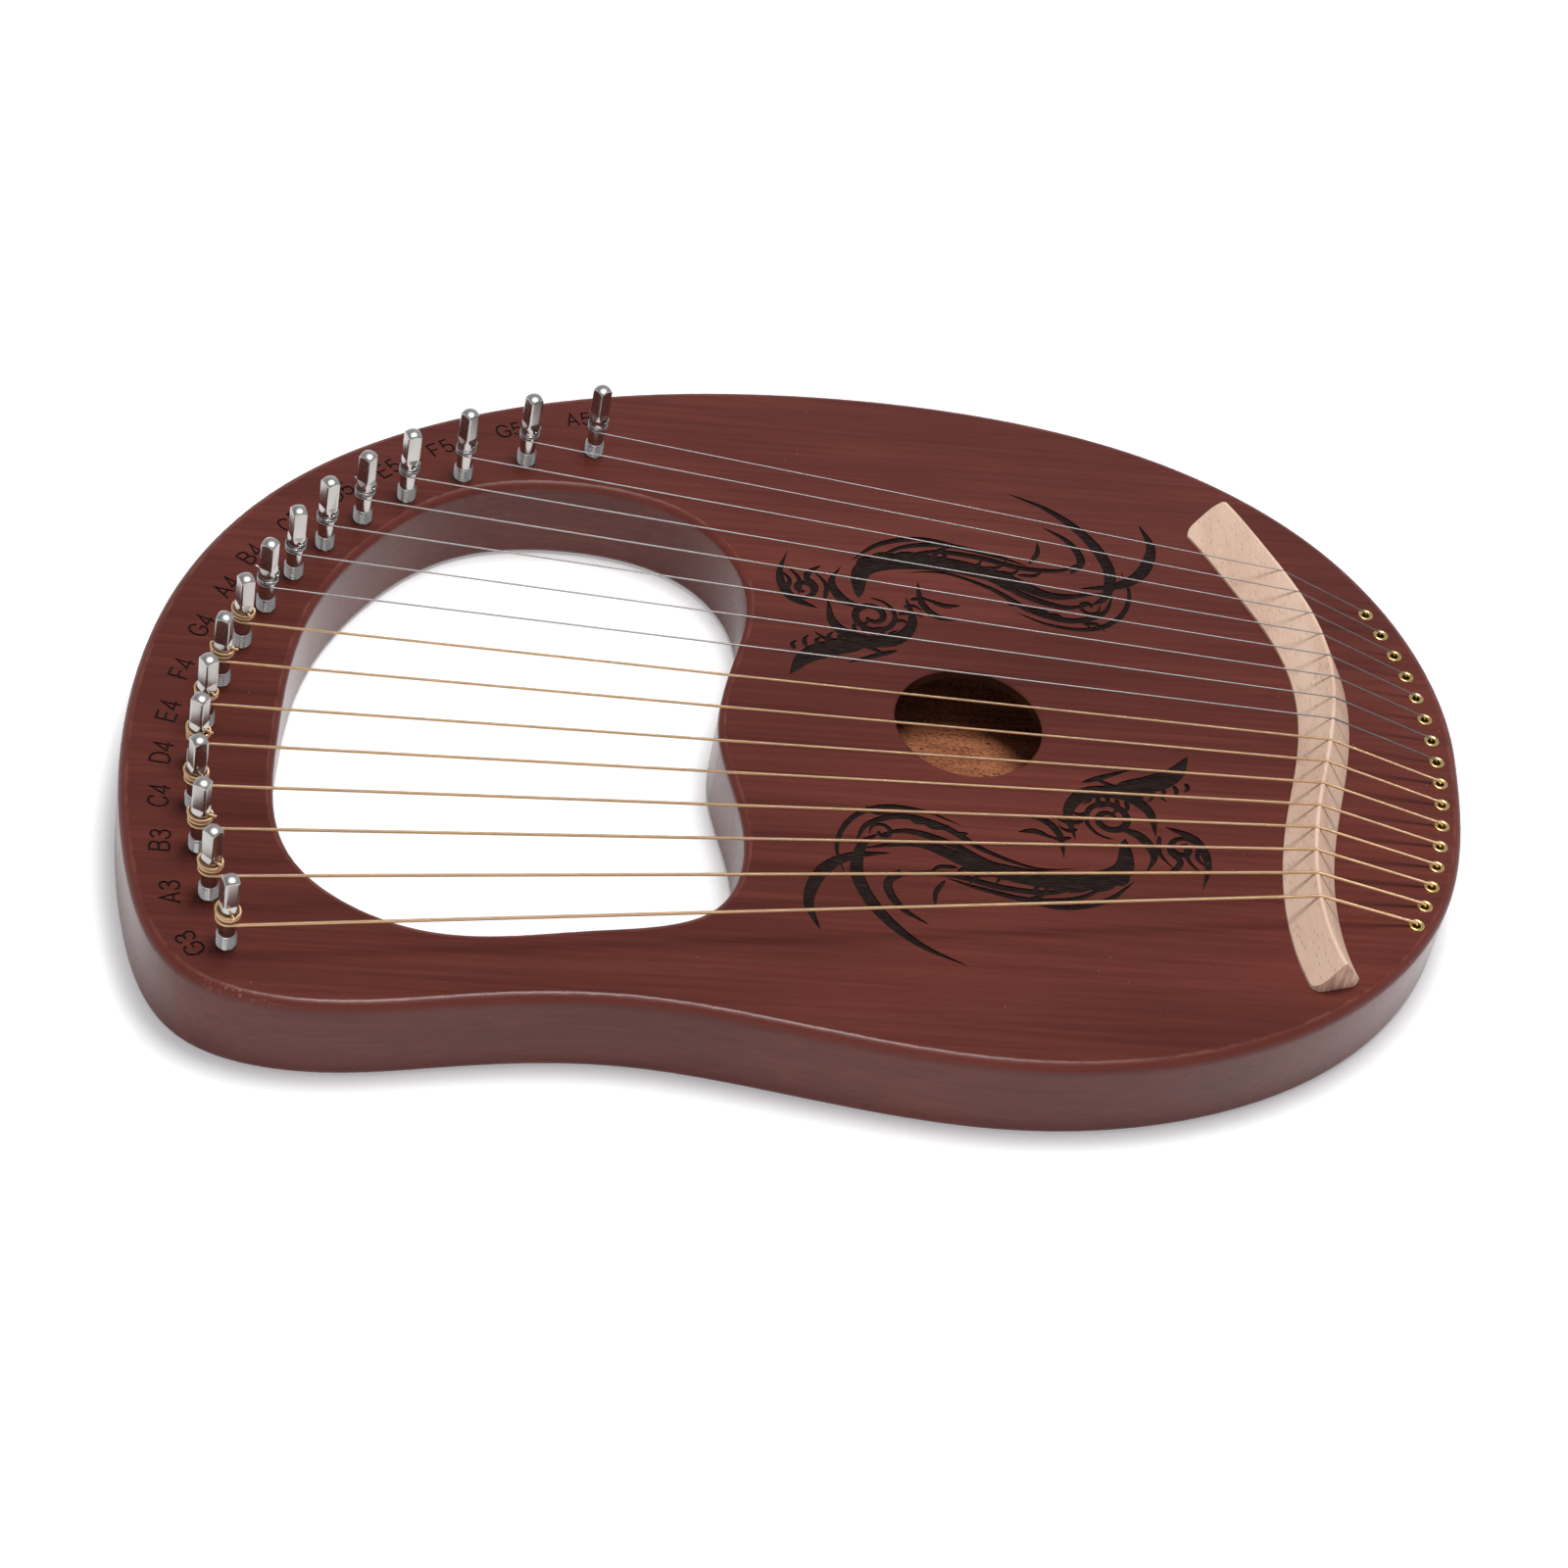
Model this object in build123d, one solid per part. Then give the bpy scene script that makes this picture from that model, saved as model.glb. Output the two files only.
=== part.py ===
from build123d import *
import os
from math import asin, atan2, cos, hypot, sin, sqrt

# Sixteen-string lyre lying on its back.
# +X runs along the strings from the tuning pins to the tail, +Y to the treble side, +Z up.
# The origin is under the middle of the body's outline, on the surface that the back rests on.
# All sizes are in millimetres.

os.makedirs("parts", exist_ok=True)

# ---------------------------------------------------------------- body
BODY_THICKNESS = 27.0
SOUNDBOARD_THICKNESS = 4.0
BACK_THICKNESS = 4.0
TOP_ROUND = 3.0
HAND_TOP_ROUND = 2.4
BOTTOM_ROUND = 2.0
BOARD_TOP = BODY_THICKNESS
BOARD_BOTTOM = BODY_THICKNESS - SOUNDBOARD_THICKNESS

# Outer edge of the body, counter-clockwise from the middle of the tail.
BODY_OUTLINE = [
    (188.2, -6), (182.5, 40), (158, 83), (115, 114.2), (62, 129), (8, 131.8), (-47, 125.5),
    (-102, 106.8), (-147, 74.5), (-175.5, 29), (-187.2, -28), (-184.2, -78), (-167, -116),
    (-138, -125), (-96, -120.6), (-54, -117.4), (-12, -123.3), (46, -131.8), (104, -123.8),
    (150, -98), (177.5, -60),
]

# Edge of the hand opening, counter-clockwise from its tail side.
HAND_OUTLINE = [
    (-25, -20), (-19.5, 14), (-14.6, 42), (-28, 69.5), (-61, 81), (-96, 74.5), (-121, 52),
    (-137.5, 22), (-145.8, -28), (-140, -74), (-108, -95.2), (-62, -92), (-28.5, -81),
    (-20.2, -58),
]

SOUND_HOLE_AT = (46.0, -5.7)
SOUND_HOLE_RADIUS = 21.0
SOUND_HOLE_EDGE = 0.5

# Hollow of the sound chamber, tailward of the hand opening: its two sides and its rounded tail end.
CHAMBER_TREBLE_SIDE = [(-4, 121.5), (60, 119.6), (112, 104.5), (152, 72)]
CHAMBER_TAIL = (169, -10)
CHAMBER_BASS_SIDE = [(150, -84), (104, -113.5), (46, -122.3), (-4, -115.5)]
CHAMBER_CORNER = 10.0

# Braces glued under the soundboard, one on each side of the sound hole.
BRACE_X = (8.0, 92.0)
BRACE_SPANS = ((-104.0, 104.0), (-108.0, 104.0))
BRACE_WIDTH = 6.0
BRACE_HEIGHT = 9.0
BRACE_SCOOP = 6.0

# ---------------------------------------------------------------- strings
STRINGS = 16
PLAIN_STRINGS = 8
PLAIN_GAUGE = 0.36
PLAIN_GAUGE_STEP = 0.02
WOUND_GAUGE = 0.72
WOUND_GAUGE_STEP = 0.03
NOTES = ("A5", "G5", "F5", "E5", "D5", "C5", "B4", "A4", "G4", "F4", "E4", "D4", "C4", "B3", "A3", "G3")

# Line of the tuning pins, from the highest string to the lowest.
PIN_LINE = [
    (-57.2, 96.8), (-95.9, 81.6), (-130.2, 54), (-153.8, 14), (-166.2, -30), (-165.4, -72), (-157, -105.4),
]
PIN_GAPS = (21, 20.5, 19.5, 16.5, 16, 15.5, 16, 16, 16.5, 17, 15, 15.5, 15.5, 17, 17.5)

# ---------------------------------------------------------------- tuning pins
PIN_ABOVE_BOARD = 25.0
PIN_IN_WOOD = 16.0
PIN_HOLE_DEPTH = 16.6
PIN_RUNNING_GAP = 0.05
SHANK_RADIUS = 2.45
THREAD_RADIUS = 2.65
THREAD_PITCH = 0.75
THREAD_RINGS = 6
HEAD_RADIUS = 2.72
HEAD_START = 12.3
HEAD_FULL = 15.5
HEAD_SQUARE = 4.1
HEAD_DOME = 1.3
EYE_RADIUS = 0.7
EYE_HEIGHT = 13.3
PIN_TURNS = (38, 30, 40, 22, 52, 34, 18, 62, 24, 70, 36, 58, 28, 66, 48, 20)

# ---------------------------------------------------------------- string coils
STRING_AT_PIN = 10.0
COIL_TURNS = 2
COIL_PITCH_RATIO = 0.96
COIL_GAP = 0.02
STRING_COIL_GAP = 0.08

# ---------------------------------------------------------------- bridge
BRIDGE_HEIGHT = 10.0
RIDGE_Z = BOARD_TOP + BRIDGE_HEIGHT
RIDGE_LINE = [
    (129, 86), (143.2, 57), (151.8, 26), (148.2, -9), (139.8, -40), (135.2, -70), (138.4, -98.4),
]
BRIDGE_FOOT = 0.8
RIDGE_FLAT = 0.9
BRIDGE_SECTIONS = 11
PIN_SIDE_WIDTHS = (7.2, 11.5)
TAIL_SIDE_WIDTHS = (7.2, 4.6)
BRIDGE_CORNERS = 3.0
BRIDGE_ROUND_CORNER = 9.0
STRING_SLOT_GAP = 0.06
RIDGE_FIRST_Y = 56.5
RIDGE_LAST_Y = -73.8

# ---------------------------------------------------------------- tail
TAIL_ARC = [(170.1, 50.6), (181.4, -9.5), (164.6, -73.2)]
EYELET_NARROWING = 0.05
EYELET_FLANGE = 2.3
EYELET_BARREL = 1.55
EYELET_HOLE = 1.1
EYELET_RIM = 0.45
EYELET_DEPTH = 5.0
EYELET_FIT = 0.02
STRING_HOLE = 1.2
BALL_SEAT_RADIUS = 2.6
BALL_SEAT_DEPTH = 6.0
BALL_RADIUS = 2.0
BALL_WAIST = 1.3
BALL_WIDTH = 3.4
BALL_GAP = 0.05


def save(name, shape):
    export_step(shape, f"parts/{name}.step")


def plate(face, bottom, top):
    """A flat face, drawn at z = 0, made solid between two heights."""
    return extrude(face, amount=top - bottom).moved(Location((0, 0, bottom)))


def closed_face(points):
    return make_face(Spline(*points, periodic=True))


def upright(x, y, radius, bottom, top):
    """A round post or drill along Z."""
    height = top - bottom
    return Cylinder(radius, height).moved(Location((x, y, bottom + height / 2)))


def longest_edges(shape, height, count):
    """The longest edges of a plate that lie at one height."""
    flat = [edge for edge in shape.edges() if edge.bounding_box().size.Z < 1e-3]
    level = [edge for edge in flat if abs(edge.center().Z - height) < 1e-3]
    return sorted(level, key=lambda edge: edge.length)[-count:]


def gauge(i):
    """Diameter of string i, counted from the highest."""
    if i < PLAIN_STRINGS:
        return PLAIN_GAUGE + PLAIN_GAUGE_STEP * i
    return WOUND_GAUGE + WOUND_GAUGE_STEP * (i - PLAIN_STRINGS)


def pin_places():
    """Pin centres along the pin line, the gaps between them shared out over its length."""
    line = Spline(*PIN_LINE)
    return [line @ (sum(PIN_GAPS[:i]) / sum(PIN_GAPS)) for i in range(STRINGS)]


def crossing(curve, y):
    """The point of a curve that falls steadily in y where it passes a given y."""
    low, high = 0.0, 1.0
    for _ in range(40):
        middle = (low + high) / 2
        if (curve @ middle).Y > y:
            low = middle
        else:
            high = middle
    return curve @ low


def ridge_places():
    """Where each string crosses the bridge's ridge."""
    ridge = Spline(*RIDGE_LINE)
    step = (RIDGE_LAST_Y - RIDGE_FIRST_Y) / (STRINGS - 1)
    return [crossing(ridge, RIDGE_FIRST_Y + step * i) for i in range(STRINGS)]


def eyelet_places():
    """Eyelet centres along the tail arc. The gaps narrow slightly towards the bass."""
    arc = ThreePointArc(*TAIL_ARC)
    shares = [i / (STRINGS - 1) for i in range(STRINGS)]
    return [arc @ (t + EYELET_NARROWING * t * (1 - t)) for t in shares]


PINS = pin_places()
RIDGES = ridge_places()
EYELETS = eyelet_places()


# ---------------------------------------------------------------- wooden body
def soundboard():
    outer = closed_face(BODY_OUTLINE)
    hand = closed_face(HAND_OUTLINE)
    board = plate(outer, BOARD_BOTTOM, BOARD_TOP) - plate(hand, BOARD_BOTTOM, BOARD_TOP)
    inner_edge, outer_edge = longest_edges(board, BOARD_TOP, 2)
    board = fillet(outer_edge, TOP_ROUND)
    inner_edge = longest_edges(board, BOARD_TOP, 2)[0]
    board = fillet(inner_edge, HAND_TOP_ROUND)
    board -= upright(*SOUND_HOLE_AT, SOUND_HOLE_RADIUS, BOARD_BOTTOM, BOARD_TOP)
    board = chamfer(board.edges().filter_by(GeomType.CIRCLE), SOUND_HOLE_EDGE)
    for pin in PINS:
        board -= upright(pin.X, pin.Y, THREAD_RADIUS + PIN_RUNNING_GAP, BOARD_BOTTOM - 1, BOARD_TOP + 1)
    for eye in EYELETS:
        board -= upright(eye.X, eye.Y, EYELET_BARREL + EYELET_FIT, BOARD_BOTTOM - 1, BOARD_TOP + 1)
    return board


def chamber_face():
    treble = Spline(*CHAMBER_TREBLE_SIDE)
    bass = Spline(*CHAMBER_BASS_SIDE)
    tail = ThreePointArc(treble @ 1, CHAMBER_TAIL, bass @ 0)
    face = make_face([treble, tail, bass, Line(bass @ 1, treble @ 0)])
    return fillet(face.vertices(), CHAMBER_CORNER)


def side_frame():
    bottom = BACK_THICKNESS
    outer = closed_face(BODY_OUTLINE) - closed_face(HAND_OUTLINE)
    frame = plate(outer, bottom, BOARD_BOTTOM) - plate(chamber_face(), bottom, BOARD_BOTTOM)
    for pin in PINS:
        floor = BOARD_TOP - PIN_HOLE_DEPTH
        frame -= upright(pin.X, pin.Y, THREAD_RADIUS + PIN_RUNNING_GAP, floor, BOARD_BOTTOM + 1)
    for eye in EYELETS:
        frame -= upright(eye.X, eye.Y, STRING_HOLE, bottom - 1, BOARD_BOTTOM + 1)
        frame -= upright(eye.X, eye.Y, EYELET_BARREL + EYELET_FIT, BOARD_TOP - EYELET_DEPTH, BOARD_BOTTOM + 1)
        frame -= upright(eye.X, eye.Y, BALL_SEAT_RADIUS, bottom - 1, BALL_SEAT_DEPTH)
    return frame


def back_plate():
    outer = closed_face(BODY_OUTLINE)
    hand = closed_face(HAND_OUTLINE)
    back = plate(outer, 0, BACK_THICKNESS) - plate(hand, 0, BACK_THICKNESS)
    back = fillet(longest_edges(back, 0, 2), BOTTOM_ROUND)
    for eye in EYELETS:
        back -= upright(eye.X, eye.Y, BALL_SEAT_RADIUS, -1, BACK_THICKNESS + 1)
    return back


def brace(x, span):
    """A bar under the soundboard, scooped thin towards both ends."""
    low, high = span
    under = BOARD_BOTTOM
    keel = under - BRACE_HEIGHT
    tip = under - (BRACE_HEIGHT - BRACE_SCOOP)
    run = (high - low) / 4
    outline = Polyline(
        (low, under), (low, tip), (low + run, keel),
        (high - run, keel), (high, tip), (high, under), close=True
    )
    side = Plane(origin=(x - BRACE_WIDTH / 2, 0, 0), x_dir=(0, 1, 0), z_dir=(1, 0, 0))
    return extrude(side * make_face(outline), amount=BRACE_WIDTH)


# ---------------------------------------------------------------- bridge
def blend(low, high, u):
    """low up to the bridge's middle, rising smoothly to high near its treble end (u = 0)."""
    s = min(1.0, max(0.0, (0.6 - u) / 0.45))
    return low + (high - low) * s * s * (3 - 2 * s)


def bridge_frame(ridge, u):
    """Ridge point and the unit vector across the bridge, towards the tail."""
    point = ridge @ u
    along = ridge % u
    length = hypot(along.X, along.Y)
    return point, Vector(-along.Y / length, along.X / length, 0)


def bridge_section(ridge, u):
    """The bridge cut square across: a low foot on each side and two slopes up to the ridge."""
    point, across = bridge_frame(ridge, u)
    pin_side = blend(*PIN_SIDE_WIDTHS, u)
    tail_side = blend(*TAIL_SIDE_WIDTHS, u)
    half = RIDGE_FLAT / 2
    corners = [
        (-pin_side, 0), (tail_side, 0), (tail_side, BRIDGE_FOOT),
        (half, BRIDGE_HEIGHT), (-half, BRIDGE_HEIGHT), (-pin_side, BRIDGE_FOOT),
    ]
    places = [point + across * w + Vector(0, 0, BOARD_TOP + h) for w, h in corners]
    return make_face(Polyline(*places, close=True))


def bridge_plan(ridge):
    """Outline of the bridge on the board, its corners rounded, most of all the treble one by the tail."""
    stations = [k / 6 for k in range(7)]
    sides = []
    for side in (-1, 1):
        widths = PIN_SIDE_WIDTHS if side < 0 else TAIL_SIDE_WIDTHS
        points = []
        for u in stations:
            point, across = bridge_frame(ridge, u)
            points.append(point + across * side * (blend(*widths, u) + 0.01))
        sides.append(Spline(*points))
    pin_edge, tail_edge = sides
    ends = [Line(pin_edge @ 0, tail_edge @ 0), Line(pin_edge @ 1, tail_edge @ 1)]
    face = make_face([pin_edge, tail_edge] + ends)
    corners = face.vertices().sort_by_distance(tail_edge @ 0)
    face = fillet(corners[0], BRIDGE_ROUND_CORNER)
    others = [v for v in face.vertices() if min(v.distance_to(c) for c in corners[1:]) < 0.01]
    return fillet(others, BRIDGE_CORNERS)


def bridge():
    ridge = Spline(*RIDGE_LINE)
    sections = [bridge_section(ridge, k / (BRIDGE_SECTIONS - 1)) for k in range(BRIDGE_SECTIONS)]
    body = loft(sections) & plate(bridge_plan(ridge), BOARD_TOP - 1, RIDGE_Z + 1)
    for i in range(STRINGS):
        body -= string_slot(i)
    return body


# ---------------------------------------------------------------- strings
def string_points(i):
    """Corners of string i: off its coil, over the ridge, into the eyelet, at its ball end."""
    pin, ridge, eye = PINS[i], RIDGES[i], EYELETS[i]
    reach = hypot(ridge.X - pin.X, ridge.Y - pin.Y)
    heading = atan2(ridge.Y - pin.Y, ridge.X - pin.X)
    arm = SHANK_RADIUS + COIL_GAP + gauge(i) / 2
    lean = heading + atan2(arm, sqrt(reach**2 - arm**2))
    start = (pin.X + arm * sin(lean), pin.Y - arm * cos(lean), BOARD_TOP + STRING_AT_PIN)
    mouth = (eye.X, eye.Y, BOARD_TOP + EYELET_RIM + 0.6)
    end = (eye.X, eye.Y, BALL_SEAT_DEPTH - BALL_GAP - BALL_RADIUS + BALL_WAIST + BALL_GAP)
    return [start, (ridge.X, ridge.Y, RIDGE_Z), mouth, end]


def string_path(i):
    return FilletPolyline(*string_points(i), radius=[4.0, 1.6])


def string(i):
    path = string_path(i)
    section = Plane(origin=path @ 0, z_dir=path % 0) * Circle(gauge(i) / 2)
    return sweep(section, path=path)


def string_slot(i):
    """The nick in the ridge that string i lies in."""
    start, ridge, mouth, _ = [Vector(*p) for p in string_points(i)]
    radius = gauge(i) / 2 + STRING_SLOT_GAP
    slot = None
    for far in (start, mouth):
        along = (far - ridge).normalized()
        lane = Plane(origin=ridge - along * 0.5, z_dir=along) * Circle(radius)
        piece = extrude(lane, amount=9.0)
        slot = piece if slot is None else slot + piece
    return slot


def coil(i):
    """The turns of string i round its pin, as stacked rings."""
    pin = PINS[i]
    thick = gauge(i)
    middle = SHANK_RADIUS + COIL_GAP + thick / 2
    first = BOARD_TOP + STRING_AT_PIN + thick + STRING_COIL_GAP
    rings = None
    for turn in range(COIL_TURNS):
        height = first + turn * thick * COIL_PITCH_RATIO
        ring = Torus(middle, thick / 2).moved(Location((pin.X, pin.Y, height)))
        rings = ring if rings is None else rings + ring
    return rings


# ---------------------------------------------------------------- tuning pins
def pin_profile():
    """Half outline of a pin before its head is squared: tip, thread, shank, domed head."""
    points = [(0, -PIN_IN_WOOD), (THREAD_RADIUS - 0.6, -PIN_IN_WOOD), (THREAD_RADIUS, -PIN_IN_WOOD + 0.8)]
    for ring in range(THREAD_RINGS):
        base = ring * THREAD_PITCH
        points.append((THREAD_RADIUS, base + 0.35 * THREAD_PITCH))
        points.append((SHANK_RADIUS, base + 0.65 * THREAD_PITCH))
        if ring < THREAD_RINGS - 1:
            points.append((THREAD_RADIUS, base + THREAD_PITCH))
    points += [
        (SHANK_RADIUS, HEAD_START),
        (HEAD_RADIUS, HEAD_START + 1.6),
        (HEAD_RADIUS, PIN_ABOVE_BOARD - HEAD_DOME),
    ]
    side = Polyline(*points)
    ball = (HEAD_RADIUS**2 + HEAD_DOME**2) / (2 * HEAD_DOME)
    half_way = asin(HEAD_RADIUS / ball) / 2
    dome = ThreePointArc(
        (HEAD_RADIUS, PIN_ABOVE_BOARD - HEAD_DOME),
        (ball * sin(half_way), PIN_ABOVE_BOARD - ball * (1 - cos(half_way))),
        (0, PIN_ABOVE_BOARD),
    )
    axis = Line((0, PIN_ABOVE_BOARD), (0, -PIN_IN_WOOD))
    return make_face([side, dome, axis])


def flat_cutter():
    """What is ground away on one side of the head: deep above, running out towards the shank."""
    far = 2 * HEAD_RADIUS
    top = PIN_ABOVE_BOARD + 1
    side = Polyline(
        (HEAD_SQUARE / 2, top), (HEAD_SQUARE / 2, HEAD_FULL), (HEAD_RADIUS + 0.03, HEAD_START),
        (far, HEAD_START), (far, top), close=True
    )
    return extrude(Plane.XZ * make_face(side), amount=far, both=True)


def tuning_pin():
    """One pin, its axis on Z and the soundboard's top at z = 0."""
    body = revolve(Plane.XZ * pin_profile(), Axis.Z)
    cutter = flat_cutter()
    for quarter in range(4):
        body -= cutter.rotate(Axis.Z, 90 * quarter)
    eye = Cylinder(EYE_RADIUS, 4 * HEAD_RADIUS, rotation=(90, 0, 0))
    return body - eye.moved(Location((0, 0, EYE_HEIGHT)))


# ---------------------------------------------------------------- tail fittings
def eyelet_profile():
    """Half outline of an eyelet: a tube under a rolled flange."""
    top = EYELET_RIM
    tube = Polyline(
        (EYELET_HOLE, -EYELET_DEPTH), (EYELET_BARREL, -EYELET_DEPTH),
        (EYELET_BARREL, 0), (EYELET_FLANGE - 0.15, 0)
    )
    roll = ThreePointArc(
        (EYELET_FLANGE - 0.15, 0), (EYELET_FLANGE - 0.2, top * 0.8), (EYELET_HOLE + 0.65, top)
    )
    throat = ThreePointArc(
        (EYELET_HOLE + 0.65, top), (EYELET_HOLE + 0.15, top * 0.55), (EYELET_HOLE, -0.25)
    )
    return make_face([tube, roll, throat, Line((EYELET_HOLE, -0.25), (EYELET_HOLE, -EYELET_DEPTH))])


def eyelets():
    one = revolve(Plane.XZ * eyelet_profile(), Axis.Z)
    return [one.moved(Location((eye.X, eye.Y, BOARD_TOP))) for eye in EYELETS]


def ball_ends():
    """A small waisted drum on the end of each string, lying across it."""
    half = BALL_WIDTH / 2
    profile = make_face(
        [
            Polyline((0, -half), (BALL_RADIUS, -half), (BALL_RADIUS, -half * 0.55)),
            ThreePointArc((BALL_RADIUS, -half * 0.55), (BALL_WAIST, 0), (BALL_RADIUS, half * 0.55)),
            Polyline((BALL_RADIUS, half * 0.55), (BALL_RADIUS, half), (0, half), (0, -half)),
        ]
    )
    drum = revolve(profile, Axis.Y)
    height = BALL_SEAT_DEPTH - BALL_GAP - BALL_RADIUS
    return [drum.moved(Location((eye.X, eye.Y, height))) for eye in EYELETS]


save("soundboard", soundboard())
save("side_frame", side_frame())
save("back_plate", back_plate())
save("bridge", bridge())
for number, (place, reach) in enumerate(zip(BRACE_X, BRACE_SPANS), 1):
    save(f"soundboard_brace_{number}", brace(place, reach))
save("string_eyelets", Compound(eyelets()))
save("string_ball_ends", Compound(ball_ends()))
one_pin = tuning_pin()
for index, note in enumerate(NOTES):
    place = Location((PINS[index].X, PINS[index].Y, BOARD_TOP), (0, 0, PIN_TURNS[index]))
    save(f"tuning_pin_{note}", one_pin.moved(place))
    save(f"string_coil_{note}", coil(index))
    save(f"string_{note}", string(index))
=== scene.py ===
import math
import random

import bmesh
import bpy
import numpy as np
from mathutils import Matrix, Vector
from mathutils.geometry import delaunay_2d_cdt


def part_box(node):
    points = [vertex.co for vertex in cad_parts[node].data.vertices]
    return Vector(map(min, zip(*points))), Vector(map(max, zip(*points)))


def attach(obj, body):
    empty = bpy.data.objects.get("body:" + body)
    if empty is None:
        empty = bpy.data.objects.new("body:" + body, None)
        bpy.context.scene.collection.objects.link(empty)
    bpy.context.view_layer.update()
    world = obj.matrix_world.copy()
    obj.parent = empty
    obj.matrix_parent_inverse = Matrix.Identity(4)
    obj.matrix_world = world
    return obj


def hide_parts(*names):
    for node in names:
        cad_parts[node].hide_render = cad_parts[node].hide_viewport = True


# Looks of a sixteen-string lyre that lies on its back.
# +X runs along the strings from the tuning pins to the tail, +Y to the treble side, +Z up.
# Lengths are in metres unless a name ends in _MM.

MM = 0.001
NOTES = "A5 G5 F5 E5 D5 C5 B4 A4 G4 F4 E4 D4 C4 B3 A3 G3".split()
PLAIN_NOTES = NOTES[:8]

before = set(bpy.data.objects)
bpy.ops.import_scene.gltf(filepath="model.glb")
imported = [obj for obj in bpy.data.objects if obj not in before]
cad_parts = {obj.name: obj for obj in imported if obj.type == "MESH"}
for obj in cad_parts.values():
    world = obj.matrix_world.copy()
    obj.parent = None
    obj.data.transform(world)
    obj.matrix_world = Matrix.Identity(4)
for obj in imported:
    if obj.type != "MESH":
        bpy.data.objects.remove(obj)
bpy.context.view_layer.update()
BOARD_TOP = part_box("soundboard")[1].z

# ------------------------------ tuning pins, heights above the board
# How far each pin is turned at rest, in degrees.
PIN_TURNS = (38, 30, 40, 22, 52, 34, 18, 62, 24, 70, 36, 58, 28, 66, 48, 20)
# Half widths: SHANK, NECK, THREAD, THREAD_ABOVE_BOARD, HEAD, HEAD_HALF_SQUARE and EYE.
PIN_DEPTH_MM = 16.0
PIN_TOP_MM = 25.0
TIP_HEIGHT_MM = 0.8
TIP_TAPER_MM = 0.6
SHANK_MM = 2.45
NECK_MM = 2.3
NECK_FROM_MM = 4.65
NECK_TO_MM = 9.45
NECK_STEP_MM = 0.12
THREAD_MM = 2.62
THREAD_ABOVE_BOARD_MM = 2.78
THREAD_PITCH_MM = 0.75
THREAD_FROM_MM = -1.0
THREAD_TO_MM = 4.5
THREAD_RUN_OUT_MM = 0.4
THREAD_SHARPNESS = 0.8
HEAD_MM = 2.72
HEAD_START_MM = 12.3
HEAD_ROUND_MM = 13.9
HEAD_FULL_MM = 15.5
HEAD_HALF_SQUARE_MM = 2.05
HEAD_FLAT_START_MM = 0.1
HEAD_DOME_MM = 1.3
EDGE_SOFTNESS_MM = 0.3
EYE_MM = 0.7
EYE_HEIGHT_MM = 13.3
EYE_SIDES = 28
PIN_SIDES = 72
PIN_SHARP_DEGREES = 42

# ------------------------------ string ends round the pins
WIRE_GAP_MM = 0.02
TURN_GAP_MM = 0.08
WRAP_DEGREES = 188
COIL_FROM_DEGREES = 170
COIL_LEAST_TURNS = {"plain": 2.2, "wound": 1.7}
CLIMB_DEGREES = 200
CLIMB_ENDS_BEFORE_DEGREES = 12
COIL_ENDS_BEFORE_DEGREES = 14
LOOSE_FROM_ENDS_DEGREES = 120
COIL_UNEVEN_MM = 0.16
WOUND_PITCH_SHARE = 1.08
PLAIN_PITCH_MM = 0.62
WIRE_END_MM = 1.1
WIRE_END_LIFT_MM = 0.25
DEGREES_PER_POINT = 9

# ------------------------------ engraving, in millimetres on the board
ENGRAVING_DEPTH_MM = 0.45
LABEL_DEPTH_MM = 0.35
LETTER_HEIGHT_MM = 5.2
LETTER_STROKE_MM = 0.32
LETTER_GAP_MM = 1.15

# Where each note's label sits from its pin (x, y), and the way it reads, in degrees from +X.
LABELS = {
    "A5": (-4, 14.3, 13), "G5": (-4.6, 13.3, 22), "F5": (-6.3, 11.8, 33), "E5": (-5.3, 11.7, 42),
    "D5": (-6.5, 10.7, 47), "C5": (-9.7, 8.8, 52), "B4": (-11.8, 7, 56), "A4": (-10.7, 7, 60),
    "G4": (-11, 5.5, 66), "F4": (-10.4, 3.8, 72), "E4": (-9.7, 3.8, 77), "D4": (-9.3, 2.9, 81),
    "C4": (-9.4, 2.2, 85), "B3": (-10, 1.5, 89), "A3": (-9.9, 0, 95), "G3": (-9, -0.8, 123),
}

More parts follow.
